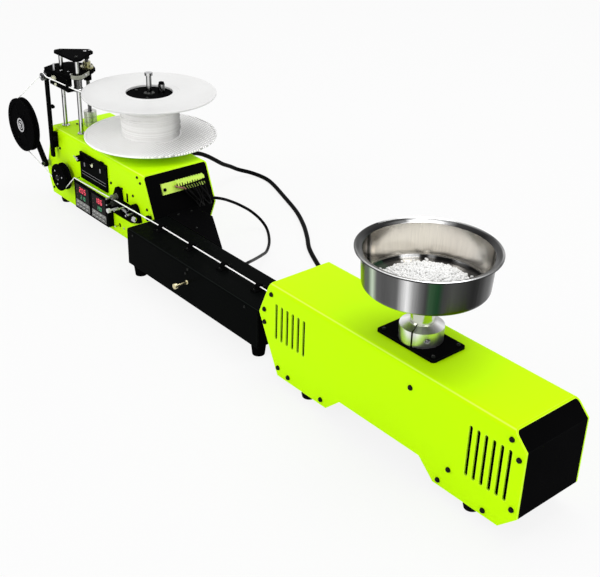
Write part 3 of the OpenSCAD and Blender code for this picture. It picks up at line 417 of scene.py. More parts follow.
# stops run once round the axis; a bare number is a grey. They hold painted reflections for the metal parts and painted
# shade for the winding
warm, pale, green = (0.93, 0.88, 0.79), (0.98, 0.97, 0.94), (0.04, 0.09, 0.045)
panReflection = {
    "streaks": 0.5, "levels": {"Top": 0.2335, "Crest": 0.2361},
    "Outward": [
        (0.0, 0.05), (0.06, 0.20), (0.12, 0.02), (0.190, 0.008), (0.208, (0.06, 0.10, 0.055)),
        (0.225, (0.55, 0.66, 0.50)), (0.241, 0.10), (0.265, 0.085), (0.300, 0.12), (0.314, 0.55), (0.325, 0.86),
        (0.338, 0.36), (0.354, 0.14), (0.368, 0.05), (0.376, green), (0.396, (0.012, 0.05, 0.02)), (0.408, 0.05),
        (0.428, 0.07), (0.452, 0.045), (0.484, 0.010), (0.51, 0.010), (0.527, 0.035), (0.545, 0.008),
        (0.585, 0.005), (0.64, 0.01), (0.72, 0.25), (0.78, 0.03), (0.88, 0.10), (0.94, 0.35)],
    "inside": [
        (0.0, warm), (0.038, (0.95, 0.90, 0.81)), (0.046, 0.5), (0.053, 0.02), (0.064, 0.03), (0.070, 0.5),
        (0.082, 0.25), (0.10, 0.02), (0.15, 0.03), (0.20, 0.20), (0.3, 0.50), (0.4, 0.30), (0.5, 0.5), (0.60, 0.05),
        (0.63, 0.6), (0.645, 0.10), (0.66, pale), (0.70, pale), (0.74, (0.88, 0.84, 0.78)),
        (0.80, (0.82, 0.77, 0.70)), (0.886, (0.92, 0.87, 0.78)), (0.95, warm)],
    "Up": [
        (0.0, (0.012, 0.03, 0.018)), (0.05, (0.014, 0.035, 0.02)), (0.10, green), (0.16, 0.01), (0.2, 0.01),
        (0.3, 0.25), (0.42, 0.05), (0.5, 0.02), (0.6, 0.3), (0.64, 0.30), (0.67, 0.01), (0.74, 0.006), (0.78, 0.10),
        (0.80, 0.006), (0.843, 0.008), (0.851, 0.20), (0.861, 0.20), (0.869, 0.008), (0.886, 0.012), (0.893, 0.50),
        (0.936, 0.56), (0.946, 0.012), (0.98, 0.008)],
    "Lip": [
        (0.0, 0.02), (0.05, 0.015), (0.10, 0.05), (0.14, 0.02), (0.18, 0.10), (0.22, 0.03), (0.30, 0.02),
        (0.40, 0.03), (0.50, 0.02), (0.56, 0.06), (0.60, 0.02), (0.66, 0.05), (0.72, 0.015), (0.80, 0.04),
        (0.84, 0.40), (0.90, 0.50), (0.93, 0.06), (0.97, 0.02)],
    "Crest": [
        (0.0, 0.03), (0.10, 0.06), (0.17, 0.14), (0.23, 0.60), (0.31, 1.0), (0.44, 0.80), (0.50, 0.35),
        (0.56, 0.06), (0.62, 0.4), (0.70, 0.08), (0.80, 0.5), (0.88, 0.9), (0.95, 0.2)]}
collarReflection = {
    "streaks": 0.35, "levels": {}, "inside": [(0.0, 0.3), (0.5, 0.3)],
    "Outward": [
        (0.0, 0.5), (0.12, 0.30), (0.2, 0.80), (0.26, 0.95), (0.31, 0.66), (0.34, 1.0), (0.42, 0.95), (0.47, 0.95),
        (0.52, 0.60), (0.58, 0.40), (0.7, 0.6), (0.9, 0.4)],
    "Up": [
        (0.0, 0.60), (0.08, 0.95), (0.16, 0.66), (0.22, 0.60), (0.30, 0.95), (0.36, 1.0), (0.42, 0.80), (0.5, 0.55),
        (0.58, 0.90), (0.66, 0.45), (0.72, 0.35), (0.80, 0.66), (0.86, 0.85), (0.93, 0.50)]}
# painted reflections on the polished rods, spindle and bearing shell, laid by the side they face
rodReflection = [
    (0.0, 0.2), (0.17, 0.02), (0.30, 0.035), (0.33, 0.26), (0.358, 0.72), (0.41, 0.92), (0.442, 0.62),
    (0.468, (0.40, 0.44, 0.37)), (0.52, (0.46, 0.50, 0.42)), (0.552, 0.16), (0.60, 0.035), (0.68, 0.03), (0.8, 0.3)]
spindleReflection = [
    (0.0, 0.2), (0.16, 0.02), (0.285, 0.05), (0.32, 0.35), (0.355, 0.80), (0.40, 0.62), (0.425, 0.90),
    (0.452, 0.25), (0.475, 0.03), (0.515, 0.05), (0.54, 0.40), (0.575, 0.06), (0.66, 0.02), (0.8, 0.2)]
shellReflection = [
    (0.0, 0.01), (0.30, 0.01), (0.36, 0.03), (0.42, 0.14), (0.47, 0.10), (0.505, 0.5), (0.535, 0.12), (0.60, 0.03),
    (0.8, 0.01)]
# painted shade on the winding, darker on one side round the axis
windingSideShade = [
    (0.0, 0.7), (0.16, 1.0), (0.45, 1.0), (0.53, 0.84), (0.58, 0.52), (0.63, 0.32), (0.72, 0.4), (0.9, 0.7)]
milky = dict(softness=0.15, softRadius=(0.002, 0.002, 0.002))
# edge colours are painted highlights along sharp edges; fold colours are painted highlights along a sheet's bend
plainFinishes = {
    "limePaint": ((0.53, 0.93, 0.002), 0.38, dict(
        drift=0.05, driftSize=5.0, grain=0.06, grainSize=700.0, edge=(0.80, 0.97, 0.16), edgeAmount=0.7,
        edgeWidth=0.0008, fold=(0.74, 1.0, 0.15), foldAmount=0.55, specular=0.025, tint=(0.7, 1.0, 0.1, 1))),
    "blackPanel": ((0.0022, 0.0022, 0.0024), 0.5, dict(
        drift=0.5, spread=0.2, grain=0.12, grainSize=1100.0, edge=(0.02, 0.022, 0.021),
        fold=(0.008, 0.009, 0.0085), specular=0.0015)),
    "glossBlack": ((0.0022, 0.0026, 0.0025), 0.28, dict(
        drift=0.4, spread=0.18, grain=0.04, grainSize=900.0, edge=(0.03, 0.034, 0.031), edgeAmount=0.6,
        fold=(0.016, 0.019, 0.017), specular=0.003)),
    "blackPlastic": ((0.0026, 0.0026, 0.0028), 0.30, dict(
        drift=0.4, spread=0.25, grain=0.22, grainSize=2100.0, edge=(0.05, 0.05, 0.055), edgeAmount=0.4,
        edgeWidth=0.0003, specular=0.0003)),
    "footRubber": ((0.003, 0.003, 0.003), 0.72, dict(drift=0.5, grain=0.3, grainSize=1300.0, specular=0.01)),
    "cableBlack": ((0.003, 0.003, 0.0035), 0.26, dict(
        drift=0.5, spread=0.2, grain=0.1, grainSize=1800.0, specular=0.010)),
    "wireBlack": ((0.004, 0.004, 0.004), 0.3, dict(
        drift=0.5, spread=0.2, grain=0.1, grainSize=1800.0, specular=0.04)),
    "wireCopper": ((0.30, 0.13, 0.09), 0.4, dict(drift=0.4, driftSize=90.0, grain=0.1, grainSize=1800.0)),
    "screwBlack": ((0.006, 0.007, 0.006), 0.26, dict(
        drift=0.4, grain=0.1, edge=(0.25, 0.25, 0.25), edgeAmount=0.7, edgeWidth=0.0003, specular=0.06)),
    "darkSteel": ((0.09, 0.09, 0.095), 0.32, dict(drift=0.3, edge=(0.5, 0.5, 0.5), edgeWidth=0.0002, metallic=1.0)),
    "barrelSteel": ((0.42, 0.42, 0.43), 0.34, dict(drift=0.3, grain=0.2, metallic=1.0)),
    # greenish and brighter than plain steel: painted reflection of the lime housing
    "neckSteel": ((0.58, 0.61, 0.50), 0.14, dict(
        drift=0.2, driftSize=90.0, spread=0.08, grain=0.05, grainSize=1200.0, metallic=1.0)),
    "chrome": ((0.50, 0.50, 0.51), 0.14, dict(
        drift=0.35, driftSize=160.0, spread=0.08, grain=0.05, grainSize=1200.0, metallic=1.0)),
    "brass": ((0.62, 0.56, 0.33), 0.3, dict(drift=0.3, driftSize=150.0, edge=(0.9, 0.86, 0.66), metallic=1.0)),
    "nutBrass": ((0.34, 0.33, 0.17), 0.26, dict(
        drift=0.3, driftSize=150.0, edge=(0.95, 0.93, 0.78), edgeWidth=0.0004, metallic=1.0)),
    "creamBrass": ((0.80, 0.80, 0.58), 0.30, dict(drift=0.2, driftSize=200.0, grain=0.1, edge=(1.0, 1.0, 0.9))),
    "clampGrey": ((0.21, 0.22, 0.17), 0.40, dict(
        drift=0.4, driftSize=120.0, grain=0.2, edge=(0.62, 0.63, 0.55), edgeWidth=0.0005)),
    "pulleyGrey": ((0.06, 0.06, 0.062), 0.30, dict(
        drift=0.3, driftSize=160.0, edge=(0.5, 0.5, 0.5), edgeWidth=0.0003, metallic=1.0)),
    "rollerDark": ((0.02, 0.022, 0.018), 0.42, dict(
        drift=0.4, driftSize=90.0, grain=0.3, edge=(0.15, 0.15, 0.14), edgeWidth=0.0003, specular=0.02)),
    "motorGrey": ((0.10, 0.10, 0.105), 0.4, dict(drift=0.2, grain=0.2, metallic=0.6)),
    "rollerGrey": ((0.10, 0.105, 0.08), 0.42, dict(
        drift=0.3, driftSize=90.0, grain=0.3, edge=(0.4, 0.4, 0.4), edgeWidth=0.0003)),
    "filamentWhite": ((0.97, 0.965, 0.955), 0.36, dict(
        drift=0.12, driftSize=60.0, grain=0.05, grainSize=1500.0, **milky)),
    "pelletWhite": ((0.84, 0.84, 0.83), 0.38, dict(
        drift=0.10, driftSize=160.0, grain=0.08, grainSize=1800.0, **milky)),
    "knobWhite": ((0.62, 0.63, 0.62), 0.36, dict(grain=0.1)),
    "lampCream": ((0.78, 0.80, 0.56), 0.3, dict(drift=0.15, driftSize=200.0, grain=0.06)),
    "markGrey": ((0.20, 0.20, 0.205), 0.5, dict(drift=0.5, driftSize=120.0, grain=0.06)),
    "markWhite": ((0.45, 0.45, 0.44), 0.5, dict(drift=0.3, driftSize=200.0, grain=0.06)),
    "keypadGrey": ((0.20, 0.20, 0.195), 0.5, dict(drift=0.5, driftSize=220.0, grain=0.2)),
    "keyDark": ((0.08, 0.08, 0.08), 0.42, dict(
        drift=0.4, driftSize=200.0, grain=0.2, edge=(0.35, 0.35, 0.35), edgeWidth=0.0003)),
    "meterGlass": ((0.004, 0.003, 0.003), 0.16, dict(drift=0.4, grain=0.02, specular=0.03)),
    "terminalGreen": ((0.60, 0.86, 0.095), 0.42, dict(
        drift=0.25, driftSize=90.0, edge=(0.75, 0.92, 0.5), edgeWidth=0.0004))}
finishes = {name: makeFinish(name, colour, roughness, **more)
            for name, (colour, roughness, more) in plainFinishes.items()}
for made in (
        makeReflectionBanded("panSteel", panReflection, 0.20, hopperAxis),
        makeReflectionBanded("turnedAluminium", collarReflection, 0.30, hopperAxis),
        makeSpun("couplingSteel", (0.86, 0.86, 0.82), 0.42, couplingAxis, 1500.0, 0.45, 2.6, 0.2),
        makeSideReflection("rodChrome", rodReflection, 0.13), makeSideReflection("spindleChrome", spindleReflection, 0.14),
        makeSideReflection("shellSteel", shellReflection, 0.24),
        makeLattice("spoolWhite", (0.67, 0.67, 0.665), (1.0, 0.995, 0.99), (0.27, 0.27, 0.265), 0.42),
        makeWound("woundWhite", (0.97, 0.965, 0.955), (0.76, 0.75, 0.73), windingSideShade, 0.36),
        makeLit("litRed", (0.58, 0.035, 0.07), 0.9), makeLit("litGreen", (0.03, 0.19, 0.085), 0.85),
        makeLit("dimLamp", (0.10, 0.02, 0.02), 0.4)):
    finishes[made.name] = made

finishOfSlot = {
    "lime_paint": "limePaint", "black_paint": "blackPanel", "black_plastic": "blackPlastic",
    "black_gloss": "glossBlack", "rubber": "footRubber", "machined_steel": "barrelSteel",
    "stainless": "panSteel", "chrome": "chrome", "aluminium": "turnedAluminium", "brass": "brass",
    "motor_grey": "motorGrey", "roller_grey": "rollerGrey", "white_plastic": "spoolWhite",
    "filament_white": "filamentWhite", "white_pellets": "pelletWhite", "terminal_green": "terminalGreen",
    "cable_black": "cableBlack"}
slotOfFinish = {finish: slotName for slotName, finish in finishOfSlot.items()}
slotOfFinish.update({"screwBlack": "black_plastic", "darkSteel": "machined_steel"})
ownFinish = {
    "trough_cover": "glossBlack", "hopper_neck": "neckSteel", "link_deck": "blackPanel", "puller_knob": "knobWhite",
    "shaft_coupling": "couplingSteel", "traverse_rods": "rodChrome", "lead_screw": "darkSteel",
    "traverse_nut": "nutBrass", "spool_spindle": "spindleChrome", "guide_pulley": "pulleyGrey",
    "puller_lower_roller": "rollerDark"}


def dressNodes():
    slots = {part["node"]: part["material_slot"] for part in frame["record"]["subparts"]}
    for name, node in frame["nodes"].items():
        for slotHere in node.material_slots:
            slotHere.link = "OBJECT"
            slotHere.material = finishes[ownFinish.get(name, finishOfSlot[slots[name]])]


dressNodes()
print("nodes dressed")


# shapes: plain lists of points and faces in the row's millimetres
toFront, toBack, upward = (0, -1, 0), (0, 1, 0), (0, 0, 1)


def newShape():
    return {"points": [], "faces": [], "finish": []}


def addFace(shape, face, finish):
    shape["faces"].append(face)
    shape["finish"].append(finish)


def addRings(shape, rings, finish=0, capStart=True, capEnd=True):
    # a skin over closed rings of points; a ring of one point is a tip
    starts = []
    for ring in rings:
        starts.append(len(shape["points"]))
        shape["points"].extend(Vector(p) for p in ring)
    for a, b, ringA, ringB in zip(starts, starts[1:], rings, rings[1:]):
        n, m = len(ringA), len(ringB)
        for k in range(max(n, m)):
            face = list(dict.fromkeys((a + k % n, a + (k + 1) % n, b + (k + 1) % m, b + k % m)))
            if len(face) > 2:
                addFace(shape, face, finish)
    ends = [list(range(start, start + len(ring))) for start, ring in ((starts[0], rings[0]), (starts[-1], rings[-1]))]
    if capStart and len(ends[0]) > 2:
        addFace(shape, ends[0][::-1], finish)
    if capEnd and len(ends[1]) > 2:
        addFace(shape, ends[1], finish)


def standing(origin, axis, side=upward):
    # a frame at origin with its Z along axis
    up = Vector(axis).normalized()
    across = Vector(side) - up * up.dot(Vector(side))
    if across.length < 1e-4:
        across = Vector((1, 0, 0)) - up * up.x
    across.normalize()
    return Matrix.Translation(origin) @ Matrix((across, up.cross(across), up)).transposed().to_4x4()


def upright(x, y, z=0):
    return Matrix.Translation((x, y, z))


def heading(turn):
    a = math.radians(turn)
    return Vector((math.cos(a), math.sin(a), 0))


def circle(at, radius, height, sides, tooth=0.0):
    # every second point stands out by tooth
    ring = []
    for k in range(sides):
        a, r = 2 * math.pi * k / sides, radius + (tooth if k % 2 else 0)
        ring.append(at @ Vector((r * math.cos(a), r * math.sin(a), height)))
    return ring


def addTurned(shape, profile, at, sides, finish=0, capStart=True, capEnd=True):
    # profile is (radius, height) from the start to the end
    rings = [circle(at, radius, height, sides if radius else 1) for radius, height in profile]
    addRings(shape, rings, finish, capStart, capEnd)


def addBand(shape, profile, at, sides):
    addTurned(shape, profile, at, sides, capStart=False, capEnd=False)


def addKnurled(shape, profile, at, sides, tooth, above=0.0):
    # toothed where the profile is wider than above
    addRings(shape, [circle(at, q, h, sides, tooth if q > above else 0.0) for q, h in profile])


def addRod(shape, start, end, radius, sides, edge):
    start, end = Vector(start), Vector(end)
    length = (end - start).length
    e = min(edge, radius * 0.5, length * 0.4)
    profile = [(radius - e, 0), (radius, e), (radius, length - e), (radius - e, length)]
    addTurned(shape, profile, standing(start, end - start), sides)


def addBlock(shape, low, high, edge, finish=0):
    low, high = Vector(low), Vector(high)
    e = min(edge, min(high - low) * 0.45)

    def ring(z, inset):
        x0, x1, y0, y1 = low.x + inset, high.x - inset, low.y + inset, high.y - inset
        return [(x0 + e, y0, z), (x1 - e, y0, z), (x1, y0 + e, z), (x1, y1 - e, z),
                (x1 - e, y1, z), (x0 + e, y1, z), (x0, y1 - e, z), (x0, y0 + e, z)]
    addRings(shape, [ring(low.z, e), ring(low.z + e, 0), ring(high.z - e, 0), ring(high.z, e)], finish)


def addPlate(shape, outline, at, thick, edge):
    # an outline in the frame's X and Y, raised along its Z, with a chamfered top
    middle = sum((Vector(p) for p in outline), Vector((0, 0))) / len(outline)

    def ring(z, inset):
        offs = [Vector(p) - middle for p in outline]
        return [at @ Vector((*(middle + off * (1 - inset / max(off.length, inset + 0.01))), z)) for off in offs]
    addRings(shape, [ring(0, 0), ring(thick - edge, 0), ring(thick, edge * 1.4)])


def slotOutline(half, r):
    # a straight slot with round ends
    return [(half * s + r * math.cos(a), r * math.sin(a)) for s, start in ((1, -90), (-1, 90))
            for a in (math.radians(start + 22.5 * k) for k in range(9))]


def addTube(shape, path, radius, sides):
    # radius is a number, or a function of how far along the path it is
    path = [Vector(p) for p in path]
    last = len(path) - 1
    ahead = [(path[min(i + 1, last)] - path[max(i - 1, 0)]).normalized() for i in range(last + 1)]
    side = ahead[0].orthogonal().normalized()
    rings = []
    for i, p in enumerate(path):
        side = (side - ahead[i] * ahead[i].dot(side)).normalized()
        third = ahead[i].cross(side)
        r = radius(i / last) if callable(radius) else radius
        turns = [2 * math.pi * k / sides for k in range(sides)]
        rings.append([p + r * (math.cos(a) * side + math.sin(a) * third) for a in turns])
    addRings(shape, rings)


def softPath(points, steps=6):
    # a smooth line through the points
    points = [Vector(p) for p in points]
    full = [2 * points[0] - points[1]] + points + [2 * points[-1] - points[-2]]
    line = []
    for a, b, c, d in zip(full, full[1:], full[2:], full[3:]):
        for t in (k / steps for k in range(steps)):
            bent = (2 * a - 5 * b + 4 * c - d) * t * t + (3 * b - a - 3 * c + d) * t ** 3
            line.append(0.5 * (2 * b + (c - a) * t + bent))
    return line + [points[-1]]


def addScrewHead(shape, where, outward, outside, socket, top, bottom, sides):
    # turned outside, then a hexagon socket from top to bottom
    at = standing(where, outward)
    rings = [circle(at, q, z, sides) for q, z in outside]
    for scale, z in ((1, top), (0.94, bottom)):
        ring = []
        for k in range(sides):
            a = 2 * math.pi * k / sides
            q = scale * socket * math.cos(math.pi / 6) / math.cos(a % (math.pi / 3) - math.pi / 6)
            ring.append(at @ Vector((q * math.cos(a), q * math.sin(a), z)))
        rings.append(ring)
    addRings(shape, rings)


def addButtonScrew(shape, where, outward, diameter):
    r = diameter / 2
    outside = ((r, -0.3), (r, 0.25 * r), (r * 0.86, 0.62 * r), (r * 0.62, 0.8 * r))
    addScrewHead(shape, where, outward, outside, r * 0.42, 0.8 * r, 0.15 * r, 20)


def addCapScrew(shape, where, outward, diameter, h, sides=20):
    r = diameter / 2
    addScrewHead(shape, where, outward, ((r, -0.2), (r, h - 0.4), (r - 0.35, h)), r * 0.5, h, h * 0.4, sides)


def finishPiece(name, shape, used, body="root", standsFor=(), angle=38):
    mesh = bpy.data.meshes.new(name)
    mesh.from_pydata([place(p) for p in shape["points"]], [], shape["faces"])
    work = bmesh.new()
    work.from_mesh(mesh)
    bmesh.ops.recalc_face_normals(work, faces=work.faces)
    work.to_mesh(mesh)
    work.free()
    for key in used:
        mesh.materials.append(finishes[key])
    mesh.polygons.foreach_set("material_index", shape["finish"])
    mesh.polygons.foreach_set("use_smooth", [True] * len(mesh.polygons))
    mesh.set_sharp_from_angle(angle=math.radians(angle))
    mesh.validate()
    piece = bpy.data.objects.new(name, mesh)
    bpy.context.scene.collection.objects.link(piece)
    if standsFor:
        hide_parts(*standsFor)
    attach(piece, body)


# cables: they lie where their solids are
cables = {
    "powerLead": {"node": "power_cable", "diameter": 7, "stiffness": "medium", "route": [
        [-455, 182, 95], [-456, 198, 94], [-461, 220, 90], [-468, 243, 82.5], [-474, 264, 71.5],
        [-482, 286, 57], [-491, 308, 42], [-502, 332, 28.5], [-509, 355, 15], [-500, 376, 7], [-476, 385, 3.6],
        [-446, 380, 3.6], [-392, 361, 3.6], [-332, 338, 3.6], [-286, 314, 3.6], [-249, 290, 3.6],
        [-214, 265, 3.6], [-167, 241, 3.6], [-110, 216, 3.6], [-50, 192, 3.6], [2, 172, 3.6],
        [36, 157, 7], [54, 142, 20], [60, 127, 36], [60, 109, 45]]},
    "signalLead": {"node": "signal_cable", "diameter": 4.5, "stiffness": "medium", "route": [
        [-316, 160, 79], [-317, 170, 75.5], [-320, 182, 70], [-326, 197, 61.5], [-329, 219, 48],
        [-328, 242, 31], [-321, 257, 14], [-303, 255, 4.5], [-272, 234, 2.4], [-242, 205, 7],
        [-217, 176, 19], [-195, 150, 31], [-174, 126, 43], [-157, 106, 53], [-147, 90, 58]]},
}


def layCable(name, values):
    route = [place(p) for p in values["route"]]
    before = [2 * route[0] - route[1]] + route[:-1]
    after = route[1:] + [2 * route[-1] - route[-2]]
    data = bpy.data.curves.new(name, "CURVE")
    data.dimensions, data.resolution_u = "3D", 8
    data.bevel_depth, data.bevel_resolution, data.use_fill_caps = values["diameter"] / 2000, 5, True
    line = data.splines.new("BEZIER")
    line.bezier_points.add(len(route) - 1)
    for point, here, a, b in zip(line.bezier_points, route, before, after):
        point.co, point.handle_left, point.handle_right = here, here - (b - a) / 6, here + (b - a) / 6
    data.materials.append(finishes["cableBlack"])
    lead = bpy.data.objects.new(name, data)
    bpy.context.scene.collection.objects.link(lead)
    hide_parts(values["node"])
    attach(lead, "root")


for cableName, cableValues in cables.items():
    layCable(cableName, cableValues)

# where the main parts lie
exLow, exHigh = spanOf("extruder_hood")
wiLow, wiHigh = spanOf("winder_hood")
trLow, trHigh = spanOf("trough_cover")
spLow, spHigh = spanOf("spool")
hopper, spool, screwAt = middleOf("hopper_pan"), middleOf("spool"), middleOf("lead_screw")


# housings
housingScrews = {  # diameter and places of the heads
    "extruder": (6.0, [(22.7, 115.8), (10.2, 91), (10.8, 74.3), (37.2, 23.1), (56, 18.8), (114.2, 19), (248.5, 105.8),
                       (379.8, 117.2), (391, 99.7), (390.5, 40.8), (357.5, 18.3), (296.9, 18.5), (309.1, 38.7)]),
    "winder": (4.2, [(-355.5, 122.4), (-347.8, 116), (-332.3, 80.6), (-429.4, 89.6), (-398.8, 90.5),
                     (-368.9, 89.5), (-599.4, 97.7), (-581.6, 97.8), (-612.8, 21.6)]),
    "winderTop": (4.0, [(-586, 93), (-461, 63)])}
winderFront = {"slot": (-385.5, 80.6), "slotSize": (5, 2.2), "knob": (-323.9, 71.5),
               "knobShape": [(2.6, -0.2), (2.6, 2.2), (4.2, 2.8), (4.4, 5.8), (3.6, 6.8), (0, 7.1)]}
# dark sheets behind the vent slots, painted shade for the housing's inside
ventShadeScreens = {"nose": (26, 88, 56, 111), "tail": (325, 386, 41, 109), "depth": 7.5, "thick": 1.2,
               "louvre": 4.2, "reach": 3.4, "drop": (1.6, 2.2, 0.6)}


def addHousingScrews():
    shape = newShape()
    diameter, spots = housingScrews["extruder"]
    for x, z in spots:
        addButtonScrew(shape, (x, exLow.y, z), toFront, diameter)
        addButtonScrew(shape, (x, exHigh.y, z), toBack, diameter)
    diameter, spots = housingScrews["winder"]
    for x, z in spots:
        addButtonScrew(shape, (x, wiLow.y, z), toFront, diameter)
    for x, z in spots[:2] + spots[-1:]:
        addButtonScrew(shape, (x, wiHigh.y, z), toBack, diameter)
    diameter, spots = housingScrews["winderTop"]
    for x, y in spots:
        addButtonScrew(shape, (x, y, wiHigh.z), upward, diameter)
    finishPiece("housingScrews", shape, ["screwBlack"])
    # flat slot, a black plate as painted shade for its opening, and the round pull knob on the winder's front
    shape = newShape()
    x, z = winderFront["slot"]
    addPlate(shape, slotOutline(*winderFront["slotSize"]), standing((x, wiLow.y, z), toFront), 0.35, 0.1)
    x, z = winderFront["knob"]
    addTurned(shape, winderFront["knobShape"], standing((x, wiLow.y, z), toFront), 28)
    finishPiece("winderSlotAndKnob", shape, ["blackPlastic"])


def addVentShadeScreens():
    # painted shade: dark louvred sheets behind the slots of the front and the back plate, standing for the shade inside
    # the housing
    shape = newShape()
    reach, (tipTop, tipLow, rootLow) = ventShadeScreens["reach"], ventShadeScreens["drop"]
    for x0, x1, z0, z1 in (ventShadeScreens["nose"], ventShadeScreens["tail"]):
        for y, outward in ((exLow.y + ventShadeScreens["depth"], -1), (exHigh.y - ventShadeScreens["depth"], 1)):
            back = y - outward * ventShadeScreens["thick"]
            addBlock(shape, (x0, min(y, back), z0), (x1, max(y, back), z1), 0.3)
            z, tip = z0 + 2, y + outward * reach
            while z < z1 - 2:
                tilt = [(y, z), (tip, z - tipTop), (tip, z - tipLow), (y, z - rootLow)]
                addRings(shape, [[(x, *p) for p in tilt] for x in (x0 + 1, x1 - 1)])
                z += ventShadeScreens["louvre"]
    finishPiece("ventShadeScreens", shape, ["blackPlastic"])


addHousingScrews()
addVentShadeScreens()
print("housings detailed")


# hopper
pellets = {"across": 49.0, "count": 1250, "radius": 1.75, "long": 1.5, "seed": 7, "strays": 26, "turn": 2.39996}
collarScrews = {"turns": (-31, 69), "height": 9.0, "sunk": 5.0, "size": (5.2, 3.0)}
flangeScrews = {"inset": 6, "diameter": 4.6}
neckBead = [(0.05, -2.4), (0.9, -1.7), (2.0, -0.2), (0.2, -0.05)]  # from the neck's side and the pan's bottom


def addPellets():
    random.seed(pellets["seed"])
    low, high = spanOf("pellet_heap")
    bottom, rise, across = low.z, high.z - low.z - 1.5, pellets["across"]
    middle = Vector((hopper.x, hopper.y, 0))

    def heapHeight(r, turn):
        u = min(1.0, r / across)
        swell = noise.noise(Vector((math.cos(turn) * r * 0.06, math.sin(turn) * r * 0.06, 3.1)))
        return rise * (1 - u * u) ** 0.8 * (0.82 + 0.3 * swell)

    def spotAt(r, turn, height):
        return middle + Vector((r * math.cos(turn), r * math.sin(turn), bottom + height))

    def addPellet(spot, lean):
        r = pellets["radius"] * random.uniform(0.85, 1.08)
        h = r * pellets["long"] * random.uniform(0.5, 0.75)
        addTurned(shape, [(r * 0.55, -h), (r * 0.95, -h * 0.62), (r, h * 0.2), (r * 0.6, h)], standing(spot, lean), 7)
    # a closed heap just under the grains
    shape, rings = newShape(), []
    for i in range(14):
        r = (across - 3) * (14 - i) / 14
        ring = []
        for k in range(48):
            turn = 2 * math.pi * k / 48
            edge = r * (1 + 0.05 * noise.noise(Vector((math.cos(turn) * 2, math.sin(turn) * 2, 0.4))))
            ring.append(spotAt(edge, turn, 0.1 + max(0, heapHeight(r, turn) - 1.6)))
        rings.append(ring)
    addRings(shape, rings + [[spotAt(0, 0, heapHeight(0, 0) - 1.6)]])
    for i in range(pellets["count"]):
        r = across * math.sqrt((i + 0.5) / pellets["count"])
        turn = i * pellets["turn"] + random.uniform(-0.05, 0.05)
        r += random.uniform(-0.9, 0.9)
        spot = spotAt(r, turn, max(1.3, heapHeight(r, turn) + random.uniform(-1.0, 0.9)))
        addPellet(spot, (random.uniform(-1, 1), random.uniform(-1, 1), random.uniform(-0.6, 1)))
    for i in range(pellets["strays"]):
        turn, r = random.uniform(0, 6.28), random.uniform(across + 1, across + 11)
        addPellet(spotAt(r, turn, 1.5), (random.uniform(-1, 1), random.uniform(-1, 1), 0.3))
    finishPiece("pelletHeap", shape, ["pelletWhite"], standsFor=("pellet_heap",), angle=50)


def addHopperFittings():
    shape = newShape()
    low, high = spanOf("hopper_collar")
    r = (high.x - low.x) / 2 - collarScrews["sunk"]
    for out in map(heading, collarScrews["turns"]):
        where = Vector((hopper.x, hopper.y, low.z + collarScrews["height"])) + out * r
        addCapScrew(shape, where, out, *collarScrews["size"])
    finishPiece("collarScrews", shape, ["chrome"])
    shape = newShape()
    low, high = spanOf("hopper_flange")
    inset = flangeScrews["inset"]
    for x in (low.x + inset, high.x - inset):
        for y in (low.y + inset, high.y - inset):
            addButtonScrew(shape, (x, y, high.z), upward, flangeScrews["diameter"])
    finishPiece("flangeScrews", shape, ["screwBlack"])
    # bead where the neck is welded to the pan
    shape = newShape()
    low, high = spanOf("hopper_neck")
    r, z = (high.x - low.x) / 2, spanOf("hopper_pan")[0].z
    addBand(shape, [(r + out, h) for out, h in neckBead], upright(hopper.x, hopper.y, z), 48)
    finishPiece("neckBead", shape, ["chrome"])


addPellets()
addHopperFittings()
print("hopper detailed")


# spool
reel = {"flange": 100.0, "thin": 2.2, "core": 39.0, "bore": 35.0, "wound": 45.0, "strand": 1.75, "seed": 11,
        "crossings": 9, "screws": (200, 320), "screwCircle": 24, "screw": 5.0,
        "spindle": [(5.9, -0.4), (5.4, 0.3), (3.6, 0.7), (0, 0.9)],
        "collar": [(8.2, -0.02), (8.2, 1.1), (7.6, 1.7), (6.6, 1.7)]}


def addSpool():
    r, t, core, bore = (reel[key] for key in ("flange", "thin", "core", "bore"))
    # from the bore out over the outer face, round the rim and back on the inner face
    side = [(bore, 0.6), (bore + 0.6, 0), (bore + 5, 0), (bore + 5.6, 0.5), (core + 6, 0.6), (core + 6.6, 0.25),
            (r - 5, 0.25), (r - 4.4, 0), (r - 0.7, 0), (r - 0.1, 0.6), (r, 1.5), (r - 0.1, 2.4), (r - 0.7, 3.0),
            (r - 3.2, 3.0), (r - 4.0, t + 0.1), (core + 8, t + 0.1), (core + 3, t + 0.7), (core, t + 1.6)]
    profile = [(q, spLow.z + h) for q, h in side] + [(q, spHigh.z - h) for q, h in side[::-1]]
    shape = newShape()
    addBand(shape, profile + profile[:1], upright(spool.x, spool.y), 144)
    finishPiece("spoolBody", shape, ["spoolWhite"], "reel", standsFor=("spool",), angle=30)


